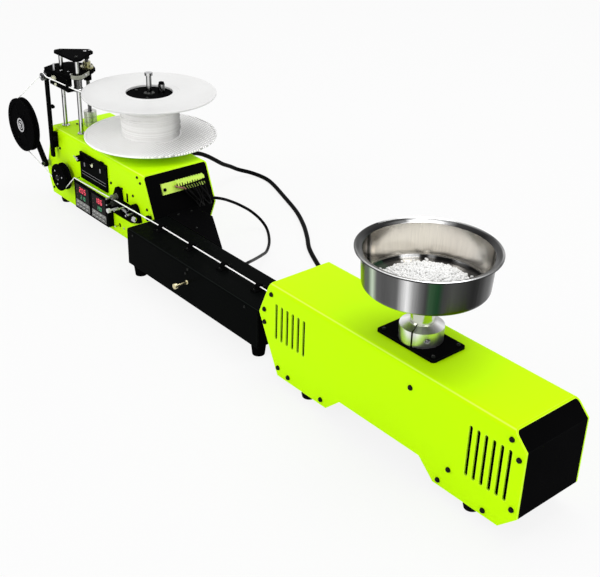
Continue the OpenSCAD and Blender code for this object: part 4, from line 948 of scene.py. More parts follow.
def addWinding():
    random.seed(reel["seed"])
    low, high = spanOf("wound_filament")
    tall, d, core = high.z - low.z, reel["strand"], reel["core"] + 0.3
    count = int(tall / (d * 1.03))
    step = tall / count
    shape = newShape()
    profile = [(core, low.z)]
    for i in range(count):
        z = low.z + (i + 0.5) * step
        # the winding is a little fuller at mid height, and each turn sits slightly in or out
        full = reel["wound"] - 0.3 - 1.2 * abs((z - low.z) / tall - 0.45) - random.uniform(0, 0.55)
        for a in (math.radians(-72 + 36 * k) for k in range(5)):
            profile.append((full - d / 2 + d / 2 * math.cos(a), z + step / 2 * math.sin(a)))
    addBand(shape, profile + [(core, high.z)], upright(spool.x, spool.y), 120)
    # turns that cross over the others
    for i in range(reel["crossings"]):
        z0, turn0 = random.uniform(low.z + 3, high.z - 12), random.uniform(0, 6.28)
        rise, sweep = random.uniform(2.5, 9), random.uniform(1.4, 4.2)
        path = []
        for u in (k / 36 for k in range(37)):
            a, r = turn0 + sweep * u, reel["wound"] - 0.55 - 0.9 * abs(2 * u - 1) ** 6
            path.append((spool.x + r * math.cos(a), spool.y + r * math.sin(a), z0 + rise * u))
        addTube(shape, path, d / 2 * 0.98, 8)
    finishPiece("woundCoil", shape, ["woundWhite"], "reel",
                standsFor=("wound_filament",), angle=60)


def addHubFittings():
    shape = newShape()
    face, top = spHigh.z - 3, spanOf("spool_spindle")[1].z
    for out in map(heading, reel["screws"]):
        addButtonScrew(shape, Vector((spool.x, spool.y, face)) + reel["screwCircle"] * out, upward, reel["screw"])
    finishPiece("hubScrews", shape, ["screwBlack"], "reel")
    # domed top of the spindle and the collar at its foot
    shape = newShape()
    addTurned(shape, reel["spindle"], upright(spool.x, spool.y, top), 32, capStart=False)
    addTurned(shape, reel["collar"], upright(spool.x, spool.y, face), 40, finish=1)
    finishPiece("spindleCap", shape, ["chrome", "screwBlack"], "reel")


addSpool()
addWinding()
addHubFittings()
print("spool detailed")


def facingFront(x, y, z):
    return standing((x, y, z), toFront)


def addCapScrews(name, finish, screws, body="root", sides=20):
    # screws is (place, diameter, height) for each head
    shape = newShape()
    for where, diameter, height in screws:
        addCapScrew(shape, where, toFront, diameter, height, sides)
    finishPiece(name, shape, [finish], body)


def addRelief(shape, corners, front, back, finish):
    # corners in X and Z, raised from front to back
    addRings(shape, [[(x, y, z) for x, z in corners] for y in (front, back)], finish)


def boxCorners(x0, z0, x1, z1):
    return [(x0, z0), (x1, z0), (x1, z1), (x0, z1)]


# traverse
thread = {"pitch": 2.0, "depth": 0.55, "sides": 16, "perTurn": 4, "flank": 2.6}
traverseTop = {  # screws are placed from the lead screw, with diameter, height and sides
    "rodScrew": 5.4, "boss": [(3.5, -9), (4.8, -8.6), (4.8, 0.1)],
    "screws": [(6.2, -5.2, 5.2, 1.6, 20), (4.6, 3.4, 3.6, 1.2, 16)],
    "rodSeat": [(3.4, 0.02), (6.2, 0.02), (6.2, 1.6), (5.6, 2.2), (3.4, 2.2)]}
carriage = {  # screws are placed from a rod, with diameter and height
    "plate": 2, "nutTurns": (20, 110, 200, 290), "nutCircle": 7.9, "nutRise": 3.5, "nutScrew": (3.0, 1.8),
    "screws": [(0, 15.5, -9, 4.4, 2.6), (0, 25, -2, 3.0, 1.6), (1, 3.6, 12, 3.8, 2.2)],
    "pin": (4.5, -14.5, 11.5, 1.9), "lowPin": (-6, -9.5, 1.7), "bandEnd": ((-10.4, -5.5), (-9.0, -3.2)),
    "bush": [(6.1, 4.1), (7.3, 4.3), (7.9, 3.7), (7.9, 1.2), (7.3, 0.6)],
    "bandRound": 8.7, "bandSection": ((0, -3.2), (0.9, -3.2), (0.9, 2.6), (0, 2.6)),
    "bandTail": [(8.4, 3.0, 0.9, 0.42), (2.2, 12.0, 0.83, 0.56), (-4.8, 22.3, 0.83, 0.56)],
    "thumbNutAt": (4, -13, -11.5), "lowNutAt": (11, -17, -19.5), "tooth": 0.2, "toothFrom": 3,
    "thumbNut": [(2.1, -0.1), (2.1, 1.4), (3.4, 1.7), (3.9, 2.2), (3.9, 5.4), (3.4, 6.0), (2.0, 6.2), (1.9, 7.4),
                 (1.2, 7.7)],
    "lowNut": [(2.4, -0.1), (2.4, 1.6), (2.0, 2.0), (0, 2.0)]}
rodLow, rodHigh = spanOf("traverse_rods")
rodY, rodRadius = (rodLow.y + rodHigh.y) / 2, (rodHigh.y - rodLow.y) / 2
rods = (rodLow.x + rodRadius, rodHigh.x - rodRadius)


def addLeadScrew():
    low, high = spanOf("lead_screw")
    r, tall, sides, perTurn = (high.x - low.x) / 2, high.z - low.z, thread["sides"], thread["perTurn"]
    steps = int(tall / thread["pitch"] * perTurn)
    rings = []
    for i in range(steps + 1):
        ring = []
        for k in range(sides):
            a, phase = 2 * math.pi * k / sides, (i / perTurn - k / sides) % 1
            q = r - thread["depth"] * min(1, abs(phase - 0.5) * thread["flank"])
            ring.append((screwAt.x + q * math.cos(a), screwAt.y + q * math.sin(a), low.z + tall * i / steps))
        rings.append(ring)
    shape = newShape()
    addRings(shape, rings)
    finishPiece("leadScrewThread", shape, ["darkSteel"], standsFor=("lead_screw",), angle=25)


def addTraverseTop():
    low, high = spanOf("traverse_top")
    shape = newShape()
    for x in rods:
        addButtonScrew(shape, (x, rodY, high.z), upward, traverseTop["rodScrew"])
    # boss that holds the lead screw's upper end
    addTurned(shape, traverseTop["boss"], upright(screwAt.x, screwAt.y, low.z), 32, capStart=False)
    finishPiece("topPlateScrews", shape, ["screwBlack"])
    # clamp screws at the plate's corner, and the rings the rods stand in
    shape = newShape()
    for x, y, diameter, height, sides in traverseTop["screws"]:
        addCapScrew(shape, (screwAt.x + x, screwAt.y + y, high.z), upward, diameter, height, sides)
    for x in rods:
        addBand(shape, traverseTop["rodSeat"], upright(x, rodY, wiHigh.z), 36)
    finishPiece("rodSeats", shape, ["chrome"])


def addCarriageFittings():
    low, high = spanOf("traverse_carriage")
    top, (rod1, rod2) = high.z - carriage["plate"], rods
    # nut screws, clamp pin and the small hardware round the eye
    shape = newShape()
    for out in map(heading, carriage["nutTurns"]):
        where = Vector((screwAt.x, screwAt.y, top + carriage["nutRise"])) + carriage["nutCircle"] * out
        addCapScrew(shape, where, upward, *carriage["nutScrew"])
    x, y, tall, r = carriage["pin"]
    addRod(shape, (rod1 + x, rodY + y, top - 0.05), (rod1 + x, rodY + y, top + tall), r, 20, edge=0.5)
    for rod, x, y, diameter, height in carriage["screws"]:
        addCapScrew(shape, (rods[rod] + x, rodY + y, top), upward, diameter, height)
    # bright end of the clamp band, beside the second rod
    addRings(shape, [[(rod2 + x + 1.6 * w, rodY + y - 2.2 * w, top - 4.5 + 6.5 * h) for w, h in boxCorners(0, 0, 1, 1)]
                     for x, y in carriage["bandEnd"]])
    x, z, r = carriage["lowPin"]
    addRod(shape, (rod1 + x, low.y - 0.9, top + z), (rod1 + x, low.y + 2, top + z), r, 16, edge=0.4)
    addBand(shape, carriage["bush"], upright(rod2, rodY, low.z), 40)
    finishPiece("carriagePins", shape, ["chrome"], "carriage")
    shape = newShape()
    shell = [(6.02, low.z + 4.4), (6.25, low.z + 4.6), (6.25, top - 5.3), (6.02, top - 5.1)]
    addBand(shape, shell, upright(rod2, rodY), 40)
    finishPiece("bearingShell", shape, ["shellSteel"], "carriage")
    # pale clamp band that curves round the second rod and runs back along the plate's edge
    shape = newShape()
    r, outs = carriage["bandRound"], [heading(-160 + 14 * k) for k in range(12)]
    band = [(rod2 + r * out.x, rodY - 0.5 + r * out.y, out.x, out.y) for out in outs]
    band += [(rod2 + x, rodY + y, u, v) for x, y, u, v in carriage["bandTail"]]
    for ends in zip(band, band[1:]):
        addRings(shape, [[(x + u * d, y + v * d, top + h) for d, h in carriage["bandSection"]] for x, y, u, v in ends])
    finishPiece("clampBand", shape, ["clampGrey"], "carriage")
    # brass thumb nut that clamps the eye's arm, and a small nut under it
    shape = newShape()
    spots = (carriage["thumbNutAt"], carriage["lowNutAt"])
    nut, lowNut = (facingFront(rod1 + x, rodY + y, top + z) for x, y, z in spots)
    addKnurled(shape, carriage["thumbNut"], nut, 36, carriage["tooth"], carriage["toothFrom"])
    addTurned(shape, carriage["lowNut"], lowNut, 6)
    finishPiece("eyeThumbNut", shape, ["creamBrass"], "carriage")


addLeadScrew()
addTraverseTop()
addCarriageFittings()


# dancer, front wheel, guide post
dancerWheel = {
    "bearing": [(11.4, -0.4), (11.4, 0.35), (11.0, 0.6), (9.3, 0.6), (9.0, 0.3), (8.8, -0.2), (6.6, -0.2), (6.4, 0.3),
                (6.1, 0.6), (4.9, 0.6), (4.7, 0.3), (4.7, -0.4)],
    "rim": [(15.3, -0.3), (15.3, 0.02), (14.3, 0.5), (12.0, 0.5), (11.6, 0.1), (11.6, -0.3)],
    "spokes": 6, "spoke": [  # distance out, offset aside and height
        [(16.5, -1.6, -2.6), (16.5, 1.6, -2.6), (34.0, 1.1, -2.6), (34.0, -1.1, -2.6)],
        [(16.5, -1.1, -0.6), (16.5, 1.1, -0.6), (34.0, 0.7, -1.2), (34.0, -0.7, -1.2)]]}
frontWheel = {
    "hub": [(8.6, -0.2), (8.6, 0.5), (8.2, 0.9), (5.0, 0.9), (4.7, 0.5), (4.7, -0.2)],
    "ring": [(19.2, -0.2), (19.2, 0.3), (18.6, 0.7), (16.4, 0.7), (16.0, 0.2), (16.0, -0.2)],
    "screwTurns": (45, 165, 285), "screwCircle": 12.4, "screw": (2.8, 0.9)}
axleHeads = {  # how far before the wheel, diameter and height
    "dancer": (1.0, 7.0, 1.4), "front": (1.5, 6.4, 1.5), "pulley": (1.0, 4.6, 1.6), "pivotAt": (9, 46.0, 62.0),
    "pivot": (5.4, 1.8)}
postHeads = {"down": ((12, 3.3), (51, 3.0)), "inset": 4.9, "back": 10.2, "tooth": 0.22}


def addWheelFittings():
    dancer, face = middleOf("dancer_wheel"), spanOf("dancer_wheel")[0].y
    at = facingFront(dancer.x, face, dancer.z)
    # sealed bearing, and raised spokes in the dished face
    shape = newShape()
    addBand(shape, dancerWheel["bearing"], at, 56)
    finishPiece("dancerBearing", shape, ["chrome"], "dancer_wheel")
    shape = newShape()
    addBand(shape, dancerWheel["rim"], at, 56)
    for k in range(dancerWheel["spokes"]):
        out = heading(30 + 360 / dancerWheel["spokes"] * k)
        side = Vector((-out.y, out.x, 0))
        addRings(shape, [[at @ (out * q + side * w + Vector((0, 0, h))) for q, w, h in ring]
                         for ring in dancerWheel["spoke"]])
    finishPiece("dancerSpokes", shape, ["blackPlastic"], "dancer_wheel")
    out, *size = axleHeads["dancer"]
    addCapScrews("dancerAxleScrew", "chrome", [((dancer.x, face - out, dancer.z), *size)], "dancer_arm")
    # front wheel: hub, raised ring and three screws
    front, face = middleOf("front_wheel"), spanOf("front_wheel")[0].y
    at = facingFront(front.x, face, front.z)
    shape = newShape()
    addBand(shape, frontWheel["hub"], at, 40)
    addBand(shape, frontWheel["ring"], at, 56)
    finishPiece("frontWheelRings", shape, ["blackPlastic"], "front_wheel")
    spots = [at @ (frontWheel["screwCircle"] * heading(turn)) for turn in frontWheel["screwTurns"]]
    screws = [(spot, *frontWheel["screw"]) for spot in spots]
    addCapScrews("frontWheelScrews", "chrome", screws, "front_wheel", 16)
    (out, *size), (x, y, z) = axleHeads["front"], axleHeads["pivotAt"]
    screws = [((front.x, face - out, front.z), *size), ((wiLow.x + x, y, z), *axleHeads["pivot"])]
    addCapScrews("axleScrews", "screwBlack", screws)


def addPostFittings():
    pulley, face = middleOf("guide_pulley"), spanOf("guide_pulley")[0].y
    out, *size = axleHeads["pulley"]
    addCapScrews("pulleyScrew", "chrome", [((pulley.x, face - out, pulley.z), *size)])
    # knurled heads of the two thumbscrews
    low, high = spanOf("guide_post")
    shape = newShape()
    for (down, wide), z in zip(postHeads["down"], (wiHigh.z, high.z)):
        at = standing((high.x - postHeads["inset"], low.y + postHeads["back"], z - down), (1, 0, 0))
        profile = [(wide - 0.6, 0), (wide, 0.4), (wide, 3.2), (wide - 0.6, 3.7)]
        addKnurled(shape, profile, at, 32, postHeads["tooth"])
    finishPiece("thumbScrewHeads", shape, ["blackPlastic"])


addWheelFittings()
addPostFittings()
print("traverse and wheels detailed")


# panel meters
meters = {  # numbers are placed from the meter's corner, with their height
    "gap": 3.0, "keys": 4, "texts": [("205", "210"), ("186", "190")], "red": (14.0, 29.2, 8.6),
    "green": (17.0, 18.6, 6.2), "lamps": 3, "lampStep": 6.0, "slant": 0.1, "raised": 0.25}
segments = {"0": "abcdef", "1": "bc", "2": "abged", "3": "abgcd", "4": "fgbc", "5": "afgcd", "6": "afgedc",
            "7": "abc", "8": "abcdefg", "9": "abcdfg"}
bars = {  # start and end along the bar and its place across, as parts of the digit
    "a": (0.12, 0.88, 1), "g": (0.12, 0.88, 0.5), "d": (0.12, 0.88, 0),
    "f": (0.54, 0.94, 0), "b": (0.54, 0.94, 1), "e": (0.06, 0.46, 0), "c": (0.06, 0.46, 1)}


def addDigits(shape, text, left, base, high, front, finish):
    # seven-segment numbers that stand on an upright face
    wide, bar, step, slant = high * 0.56, high * 0.15, high * 0.82, meters["slant"]
    for i, digit in enumerate(text):
        x = left + i * step
        for key in segments[digit]:
            a, b, c = bars[key]
            if key in "agd":
                rise = c * (high - bar)
                corners = [(x + q * wide + slant * rise, base + rise + h) for q, h in boxCorners(a, 0, b, bar)]
            else:
                x0 = x + c * (wide - bar)
                corners = [(x0 + w + slant * q * high, base + q * high) for w, q in boxCorners(0, a, bar, b)]
            addRelief(shape, corners, front, front - meters["raised"], finish)


def addMeters():
    low, high = spanOf("panel_meters")
    wide = (high.x - low.x - meters["gap"]) / 2
    y, z0, z1, step = low.y, low.z, high.z, (wide - 7) / meters["keys"]
    frames, windows, keypads = newShape(), newShape(), newShape()
    for i, (red, green) in enumerate(meters["texts"]):
        x0 = low.x + i * (wide + meters["gap"])
        x1 = x0 + wide
        # moulded front frame: four bars with rounded edges
        for a, b, c, d in ((x0 + 0.3, z0 + 0.3, x1 - 0.3, z0 + 1.8), (x0 + 0.3, z1 - 2.6, x1 - 0.3, z1 - 0.3),
                           (x0 + 0.3, z0 + 1.5, x0 + 2.0, z1 - 2.0), (x1 - 2.0, z0 + 1.5, x1 - 0.3, z1 - 2.0)):
            addBlock(frames, (a, y - 1.1, b), (c, y + 0.2, d), 0.5)
        # window with its numbers and small lamps
        addBlock(windows, (x0 + 3.0, y - 0.5, z0 + 15.8), (x1 - 3.0, y + 0.1, z1 - 3.6), 0.2)
        for text, (right, up, tall), finish in ((red, meters["red"], 1), (green, meters["green"], 2)):
            addDigits(windows, text, x0 + right, z0 + up, tall, y - 0.5, finish)
        for k in range(meters["lamps"]):
            z = z0 + 19.5 + meters["lampStep"] * k
            addBlock(windows, (x0 + 6.2, y - 0.75, z), (x0 + 7.6, y - 0.4, z + 1.1), 0.15, 3)
        # keys, each with an arrow or a bar above it and pale rims broken by its own legend; the pale rims are painted
        # highlights on the key edges
        addBlock(keypads, (x0 + 2.4, y - 0.6, z0 + 2.2), (x1 - 2.4, y + 0.1, z0 + 14.8), 0.2)
        for k in range(meters["keys"]):
            left = x0 + 3.5 + k * step
            addBlock(keypads, (left + 0.8, y - 1.3, z0 + 3.6), (left + step - 0.8, y - 0.4, z0 + 9.4), 0.45, 1)
            middle, tip = left + step / 2, 0 if k % 2 else 1.5
            mark = [(middle - 1.5, z0 + 10.6), (middle + 1.5, z0 + 10.6), (middle + tip, z0 + 12.8),
                    (middle - tip, z0 + 12.8)]
            addRelief(keypads, mark, y - 0.55, y - 0.8, 2)
            for a, b, c, d in ((0.5, 9.9, step * 0.55, 10.5), (0.2, 3.0, 0.75, 7.8), (1.8, 5.6, step - 2.4, 6.8),
                               (step * 0.6, 12.9, step - 0.6, 13.6)):
                addRelief(keypads, boxCorners(left + a, z0 + b, left + c, z0 + d), y - 1.28, y - 1.42, 2)
    finishPiece("meterFrames", frames, ["blackPlastic"])
    finishPiece("meterWindows", windows, ["meterGlass", "litRed", "litGreen", "dimLamp"])
    finishPiece("meterKeypads", keypads, ["keypadGrey", "keyDark", "markWhite"])
    # bright strip along the top of the bezel
    low, high = spanOf("display_bezel")
    section = ((low.y + 1.0, -0.02), (low.y + 1.5, 0.35), (high.y - 0.4, 0.35), (high.y - 0.1, -0.02))
    shape = newShape()
    addRings(shape, [[(x, y, high.z + h) for y, h in section] for x in (low.x + 3, high.x - 1)])
    finishPiece("bezelStrip", shape, ["limePaint"])


# control board
board = {
    "lamp": (-480.0, 102.5), "lampShape": [(4.0, -0.1), (4.0, 0.6), (3.5, 1.2), (2.2, 1.5), (0, 1.6)],
    "slots": [(-501.3, 96.8), (-455.0, 100.6)], "slotSize": (2.1, 1.5), "line": (-510.8, -441.0, 84.6),
    "lineGap": 4.6, "bump": (-456, -446.5), "parts": 11, "partStep": 6.3, "seed": 5, "screw": 3.4,
    "bracket": [(-6, -4), (2, -5), (12, -2), (22, -1), (26, 2), (25, 6), (16, 7), (6, 8), (-3, 6)]}


def addBoardFittings():
    low, high = spanOf("control_board")
    y, (x0, x1, line) = low.y, board["line"]
    x, z = board["lamp"]
    shape = newShape()
    addTurned(shape, board["lampShape"], facingFront(x, y, z), 32)
    finishPiece("boardLamp", shape, ["lampCream"])
    shape = newShape()
    for x, z in board["slots"]:
        addPlate(shape, slotOutline(*board["slotSize"]), facingFront(x, y, z), 0.5, 0.15)
    for z in (line, line - board["lineGap"]):
        addBlock(shape, (x0, y - 0.22, z - 0.35), (x1, y + 0.1, z + 0.35), 0.05)
    finishPiece("boardMarks", shape, ["markGrey"])
    # small parts along the board, its standoffs and the bump on its top edge
    shape = newShape()
    random.seed(board["seed"])
    for k in range(board["parts"]):
        x, wide = x0 + 3 + k * board["partStep"], random.uniform(1.2, 2.4)
        out = random.uniform(0.6, 1.3)
        addBlock(shape, (x - wide, y - out, line - 3.4), (x + wide, y + 0.1, line - 1.6), 0.15)
    left, right = board["bump"]
    addBlock(shape, (left, y - 1.6, high.z - 3.0), (right, y + 2.8, high.z + 2.2), 0.5)
    addBlock(shape, (x0 + 0.5, y - 1.4, high.z - 9), (x0 + 9, y + 0.1, high.z - 2.5), 0.5)
    for x, z in ((low.x + 3, low.z + 3), (high.x - 3, low.z + 3), (high.x - 3, high.z - 6)):
        addButtonScrew(shape, (x, y, z), toFront, board["screw"])
    finishPiece("boardParts", shape, ["blackPlastic"])
    # lever bracket over the board's far top corner, with its pin
    knobLow, knobHigh = spanOf("board_knobs")
    x, front, z = knobLow.x + 5, knobLow.y, knobHigh.z - 5
    shape = newShape()
    addRod(shape, (x - 9, front - 0.5, z + 2), (x + 4, front - 0.5, z - 1), 1.0, 16, edge=0.3)
    addCapScrew(shape, (x, front, z), toFront, 5.6, 1.4)
    finishPiece("leverPin", shape, ["chrome"])
    shape = newShape()
    outline = [(a, -b) for a, b in board["bracket"]]
    addPlate(shape, outline, standing((x, y - 0.4, z + 2), toFront, (1, 0, 0)), 3.2, 0.5)
    finishPiece("leverBracket", shape, ["blackPlastic"])


addMeters()
addBoardFittings()
print("meters and board detailed")


# puller
puller = {
    "nutAt": (-373.0, 61.8), "nut": [(3.6, -0.1), (3.6, 2.2), (3.1, 2.8), (1.7, 2.8), (1.7, 4.2), (0, 4.4)],
    "knobAt": (-353.5, 60.8),
    "knob": [(2.0, -0.1), (2.0, 1.0), (4.2, 1.6), (4.6, 2.4), (4.6, 4.4), (4.0, 5.2), (0, 5.6)],
    "screws": [(-381.5, 55.2, 3.4), (-364.5, 54.6, 3.4), (-371.7, 68.6, 3.0), (-356.0, 72.0, 3.0),
               (-392.0, 55.0, 3.2), (-414.0, 52.0, 3.6), (-412, 63.5, 3.2)],
    "shaftEnd": [(1.15, -0.02), (1.0, 0.35), (0, 0.45)],
    "hub": [(4.6, -0.1), (4.6, 0.0), (4.4, 0.25), (2.0, 0.25), (2.0, -0.1)],
    "coils": 8, "coilSteps": 12, "coilAt": (-386.0, 66.6), "coilRun": (14.5, -3.0), "coilRadius": 1.7, "coilOut": 3.2,
    "lugs": [  # low corner, high corner, how far it stands out, edge
        (-404, 50.7, -390, 58.7, 3.6, 0.8), (-390.5, 62.5, -386.5, 70.0, 4.6, 0.8),
        (-372.0, 60.5, -368.5, 66.0, 5.0, 0.6), (-357.0, 63.5, -350.0, 71.0, 2.2, 0.8)],
    "springWire": 0.35, "springRod": ((-388, 67.0), (-369, 63.1)), "springRodRadius": 0.8,
    "pinOut": 9, "pinRadius": 1.3, "lowScrew": (12, -1, 3.2, 1.2), "small": 1.5,
    "holeAt": (-411, 27.5), "hole": [(3.0, -0.1), (3.0, 0.15), (2.6, 0.3), (0, 0.3)]}


def addPullerFittings():
    face = spanOf("puller_bracket")[0].y
    # clamp nut, long thumb nut, small screws and the shaft ends of the two rollers
    shape = newShape()
    for part, sides in (("nut", 6), ("knob", 36)):
        x, z = puller[part + "At"]
        addTurned(shape, puller[part], facingFront(x, face, z), sides)
    for x, z, diameter in puller["screws"]:
        addCapScrew(shape, (x, face, z), toFront, diameter, puller["small"], 16)
    for node in ("puller_upper_roller", "puller_lower_roller"):
        roller = middleOf(node)
        at = facingFront(roller.x, spanOf(node)[0].y, roller.z)
        addTurned(shape, puller["shaftEnd"], at, 20, capStart=False)
    finishPiece("pullerScrews", shape, ["chrome"])
    # grey bearing hub behind the upper roller
    shape = newShape()
    upper = middleOf("puller_upper_roller")
    addTurned(shape, puller["hub"], facingFront(upper.x, face, upper.z), 32)
    finishPiece("pullerHub", shape, ["rollerGrey"])
    # spring over the two shafts
    shape, spring = newShape(), []
    (x0, z0), (run, drop), r, y = puller["coilAt"], puller["coilRun"], puller["coilRadius"], face - puller["coilOut"]
    last = puller["coils"] * puller["coilSteps"]
    for k in range(last + 1):
        a = 2 * math.pi * k / puller["coilSteps"]
        spring.append((x0 + run * k / last, y + r * math.cos(a), z0 + r * math.sin(a) + drop * k / last))
    addTube(shape, spring, puller["springWire"], 6)
    start, end = ((x, y, z) for x, z in puller["springRod"])
    addRod(shape, start, end, puller["springRodRadius"], 12, edge=0.2)
    finishPiece("pullerSpring", shape, ["chrome"])
    # raised blocks under the nip, and the lugs that carry the spring
    shape = newShape()
    for x0, z0, x1, z1, out, edge in puller["lugs"]:
        addBlock(shape, (x0, face - out, z0), (x1, face + 0.2, z1), edge)
    finishPiece("pullerLugs", shape, ["blackPlastic"])
    # pin and hole in the winder's front below the bracket; the hole is a black disc, painted shade for its dark inside
    x, z = puller["holeAt"]
    shape = newShape()
    addTurned(shape, puller["hole"], facingFront(x, wiLow.y, z), 28)
    finishPiece("pinHole", shape, ["blackPlastic"])
    shape = newShape()
    addRod(shape, (x, wiLow.y - 0.2, z), (x, wiLow.y - puller["pinOut"], z), puller["pinRadius"], 18, edge=0.4)
    right, up, *size = puller["lowScrew"]
    addCapScrew(shape, (x + right, wiLow.y, z + up), toFront, *size, 16)
    finishPiece("lowerPin", shape, ["chrome"])


# terminal block and its wires: places on the facet are (across, down, out)
terminals = {
    "count": 11, "first": 105.0, "last": 149.0, "seed": 3, "facet": 67.5, "facetInset": 24, "lip": 154.6,
    "gather": (147, 63, 2.5), "spread": (11, 1.2, 1.2), "endScrews": (86.5, 155.5),
    "cores": (101.5, 104.0, 106.5, 109.5), "coreRadius": 1.1,
    "lead": [(118, 33.5, 7.5), (124, 38, 7.0), (134, 44, 6.5), (146, 50, 5.8), (160, 56.1, 4.9)]}


def onFacet(y, s, h):
    # s runs down the winder's near upper facet, h stands out of it
    a, x = math.radians(terminals["facet"]), wiHigh.x - terminals["facetInset"]
    return Vector((x + math.cos(a) * s + math.sin(a) * h, y, wiHigh.z - math.sin(a) * s + math.cos(a) * h))


def addOnFacet(shape, corners, shift):
    # a flat shape on the facet, raised by shift
    ring = [onFacet(*p) for p in corners]
    addRings(shape, [ring, [p + shift for p in ring]])


def addTerminals():
    random.seed(terminals["seed"])
    out, along = onFacet(0, 0, 1) - onFacet(0, 0, 0), onFacet(0, 1, 0) - onFacet(0, 0, 0)
    comb, metal, black, copper = newShape(), newShape(), newShape(), newShape()
    first, lipEnd = terminals["first"], terminals["lip"]
    step = (terminals["last"] - first) / (terminals["count"] - 1)
    for i in range(terminals["count"]):
        y, tall = first + i * step, random.uniform(21.5, 24.5)
        # a dark clamp slot of its own height, its mouth, and the screw over it
        addOnFacet(comb, [(y - 1.15, 28.3, 8.6), (y + 1.15, 28.3, 8.6), (y + 0.5, tall, 8.7), (y - 0.5, tall, 8.7)],
                   out * 0.75)
        addOnFacet(comb, [(y + p, 28.05, q) for p, q in boxCorners(-1.5, 4.2, 1.5, 8.2)], along * 0.3)
        addCapScrew(metal, onFacet(y, 17.6, 8.9), out, 2.2, 0.4, 16)
        # its wire bows out from the panel and runs down to the panel's foot
        if i > 1:
            far, low = random.uniform(0.45, 0.62), random.uniform(46, 53)
            endY, endS, endH = (p + random.uniform(-1, 1) * q for p, q in zip(terminals["gather"], terminals["spread"]))
            lift = random.uniform(7, 13)
            route = [(y, 26.0, 6.8), (y + 0.4, 31.0, 8.8), (y + (endY - y) * far * 0.4, (31 + low) / 2, lift + 1),
                     (y + (endY - y) * far, low, lift),
                     (y + (endY - y) * (far + 1) / 2, (low + endS) / 2, lift * 0.55 + 1), (endY, endS, endH)]
            addTube(black, softPath([onFacet(*p) for p in route]), random.uniform(0.95, 1.25), 8)
    for y in terminals["endScrews"]:
        addCapScrew(comb, onFacet(y, 27, 3), out, 5.0, 1.6)
    # dark lip under the clamps, deeper towards the far end
    lip = ((first - 2, 28.35), (lipEnd, 28.35), (lipEnd, 24.2), (144, 25.6), (first - 2, 27.4))
    addOnFacet(comb, [(*p, 8.6) for p in lip], out * 0.6)
    finishPiece("terminalComb", comb, ["blackPlastic"])
    finishPiece("terminalScrews", metal, ["terminalGreen"])
    # pinkish cores of the lead, from the first clamps to the end of its sheath
    startY, startS, startH = terminals["lead"][0]
    for k, y in enumerate(terminals["cores"]):
        route = [(y, 24.5 + 0.8 * k, 7.0), (y + 3, 27.5 + 0.5 * k, 9.5 - 0.6 * k),
                 ((y + startY) / 2 + 2, 30.2 + 0.4 * k, 9.0 - 0.4 * k),
                 (startY + 1.5, startS + 0.3 * k, startH + 0.9 - 0.6 * k)]
        addTube(copper, softPath([onFacet(*p) for p in route]), terminals["coreRadius"], 8)
    finishPiece("terminalWires", black, ["wireBlack"])
    finishPiece("leadCores", copper, ["wireCopper"])
    # the lead's sheath over the panel, up to where it leaves the housing
    shape = newShape()
    sheath = softPath([onFacet(*p) for p in terminals["lead"]])
    addTube(shape, sheath, lambda u: 2.25 - 0.35 * max(0, 1 - 14 * u), 16)
    finishPiece("wireSleeve", shape, ["cableBlack"])


addPullerFittings()
addTerminals()
print("puller and terminals detailed")


# trough and guides
trough = {
    "screws": [(-171.5, 59.3), (-166.4, 67.0), (-44.6, 65.3), (-300, 65.0)], "screw": 3.6,
    "guides": 4, "guideInset": 5, "guideScrew": 3.2, "guideScrewIn": 2.6,
    "filamentY": 47.5,
    "guideRing": [(1.75, -0.3), (1.75, 0.35), (2.7, 0.45), (3.2, 0.1), (3.2, -0.3)],
    "knob": [(2.6, -0.02), (3.6, 0.5), (3.6, 3.4), (3.0, 3.95), (1.6, 4.1)], "tooth": 0.18,
    "knobNut": [(1.62, 0), (3.2, 0.05), (3.2, 2.0), (2.7, 2.5), (1.62, 2.5)]}


def addTroughFittings():
    shape = newShape()
    for x, z in trough["screws"]:
        addButtonScrew(shape, (x, trLow.y, z), toFront, trough["screw"])
        addButtonScrew(shape, (x, trHigh.y, z), toBack, trough["screw"])
    low, high = spanOf("filament_guides")
    start, count = high.x - trough["guideInset"], trough["guides"]
    guides = [start - i * (high.x - low.x - 2 * trough["guideInset"]) / (count - 1) for i in range(count)]
    for x in guides:
        for y in (low.y + trough["guideScrewIn"], high.y - trough["guideScrewIn"]):
            addButtonScrew(shape, (x, y, low.z + 2), upward, trough["guideScrew"])
    low, high = spanOf("link_deck")
    for x, y in ((low.x + 9, low.y + 13), (low.x + 9, high.y - 14), (low.x + 62, low.y + 8)):
        addButtonScrew(shape, (x, y, high.z), upward, trough["screw"])
    finishPiece("troughScrews", shape, ["screwBlack"])
    # a ring on both sides of each guide, round the filament
    shape, lineHeight = newShape(), middleOf("screw_barrel").z
    for x in guides:
        for s in (-1, 1):
            addBand(shape, trough["guideRing"], standing((x + 3.0 * s, trough["filamentY"], lineHeight), (s, 0, 0)), 28)
    finishPiece("guideRings", shape, ["screwBlack"])
    # the cover's thumbscrew: knurled head and the nut under it
    shape, low, knob = newShape(), spanOf("trough_knob")[0], middleOf("trough_knob")
    at = standing((knob.x, low.y + 4, knob.z), toFront, (1, 0, 0))
    addKnurled(shape, trough["knob"], at, 36, trough["tooth"])
    addBand(shape, trough["knobNut"], facingFront(knob.x, trLow.y, knob.z), 6)
    finishPiece("knobKnurl", shape, ["brass"])


addTroughFittings()


# floor, backdrop and lights
studio = {"floorRadius": 6.0, "floorGlow": 0.90, "paleTone": 0.965, "floorTone": 0.86, "ambient": 0.80}
softboxes = {  # where, aim, size, power
    "keyLight": ((-0.6, -2.8, 1.7), (0, 0, 0.1), 1.6, 24),
    "fillLight": ((2.8, -0.2, 1.6), (0, 0, 0.1), 1.6, 12),
    "topLight": ((0.2, 0.8, 3.0), (0, 0, 0), 2.0, 35)}


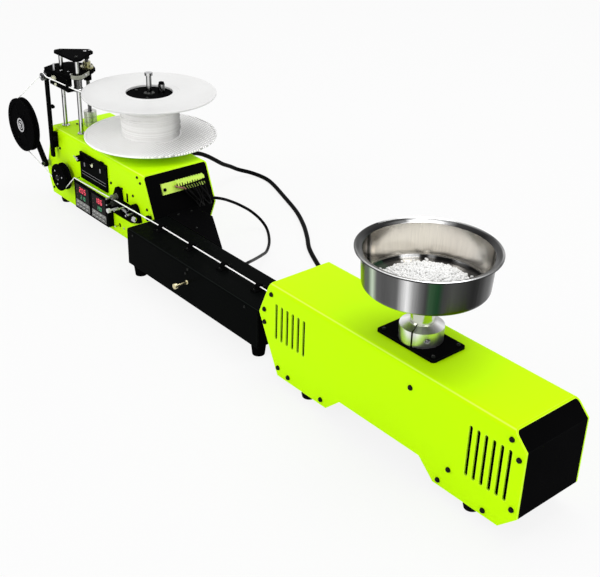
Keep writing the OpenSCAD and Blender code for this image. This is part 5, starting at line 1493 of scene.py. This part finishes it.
def seenDirectly(tree):
    # 1 for what the camera, a mirror or a pane shows, 0 for what lights the part
    path = addNode(tree, "LightPath")
    seen = addMath(tree, "MAXIMUM", path["Is Camera Ray"], path["Is Glossy Ray"])
    return addMath(tree, "MAXIMUM", seen, path["Is Transmission Ray"])


def shadeFloor():
    material = bpy.data.materials.new("paleFloor")
    material.use_nodes = True
    tree = material.node_tree
    tree.nodes.remove(tree.nodes["Principled BSDF"])
    matte = addNode(tree, "BsdfDiffuse", {"Color": shadeOf(studio["floorTone"])})
    glow = addNode(tree, "Emission", {"Color": shadeOf(studio["paleTone"]), "Strength": 1.0})
    share = addMath(tree, "MULTIPLY", seenDirectly(tree), studio["floorGlow"])
    both = addNode(tree, "MixShader", {0: share, 1: matte[0], 2: glow[0]})
    connect(tree, both[0], tree.nodes["Material Output"].inputs["Surface"])
    return material


def addFloor():
    mesh = bpy.data.meshes.new("floor")
    mesh.from_pydata(circle(Matrix.Identity(4), studio["floorRadius"], 0, 64), [], [list(range(64))])
    mesh.materials.append(shadeFloor())
    floor = bpy.data.objects.new("floor", mesh)
    bpy.context.scene.collection.objects.link(floor)


def addWorld():
    world = bpy.data.worlds.new("studio")
    world.use_nodes = True
    tree = world.node_tree
    base = tree.nodes["Background"]
    base.inputs["Color"].default_value, base.inputs["Strength"].default_value = white, studio["ambient"]
    backdrop = addNode(tree, "Background", {"Color": shadeOf(studio["paleTone"]), "Strength": 1.0})
    both = addNode(tree, "MixShader", {0: seenDirectly(tree), 1: base.outputs[0], 2: backdrop[0]})
    connect(tree, both[0], tree.nodes["World Output"].inputs["Surface"])
    bpy.context.scene.world = world


def addSoftbox(name, where, aim, size, power):
    data = bpy.data.lights.new(name, "AREA")
    data.shape, data.size, data.energy = "DISK", size, power
    lamp = bpy.data.objects.new(name, data)
    lamp.location = where
    lamp.rotation_euler = (Vector(aim) - Vector(where)).to_track_quat("-Z", "Y").to_euler()
    bpy.context.scene.collection.objects.link(lamp)


addFloor()
addWorld()
for lampName, lampValues in softboxes.items():
    addSoftbox(lampName, *lampValues)
bpy.context.scene.view_settings.view_transform = "Standard"
print("studio set")
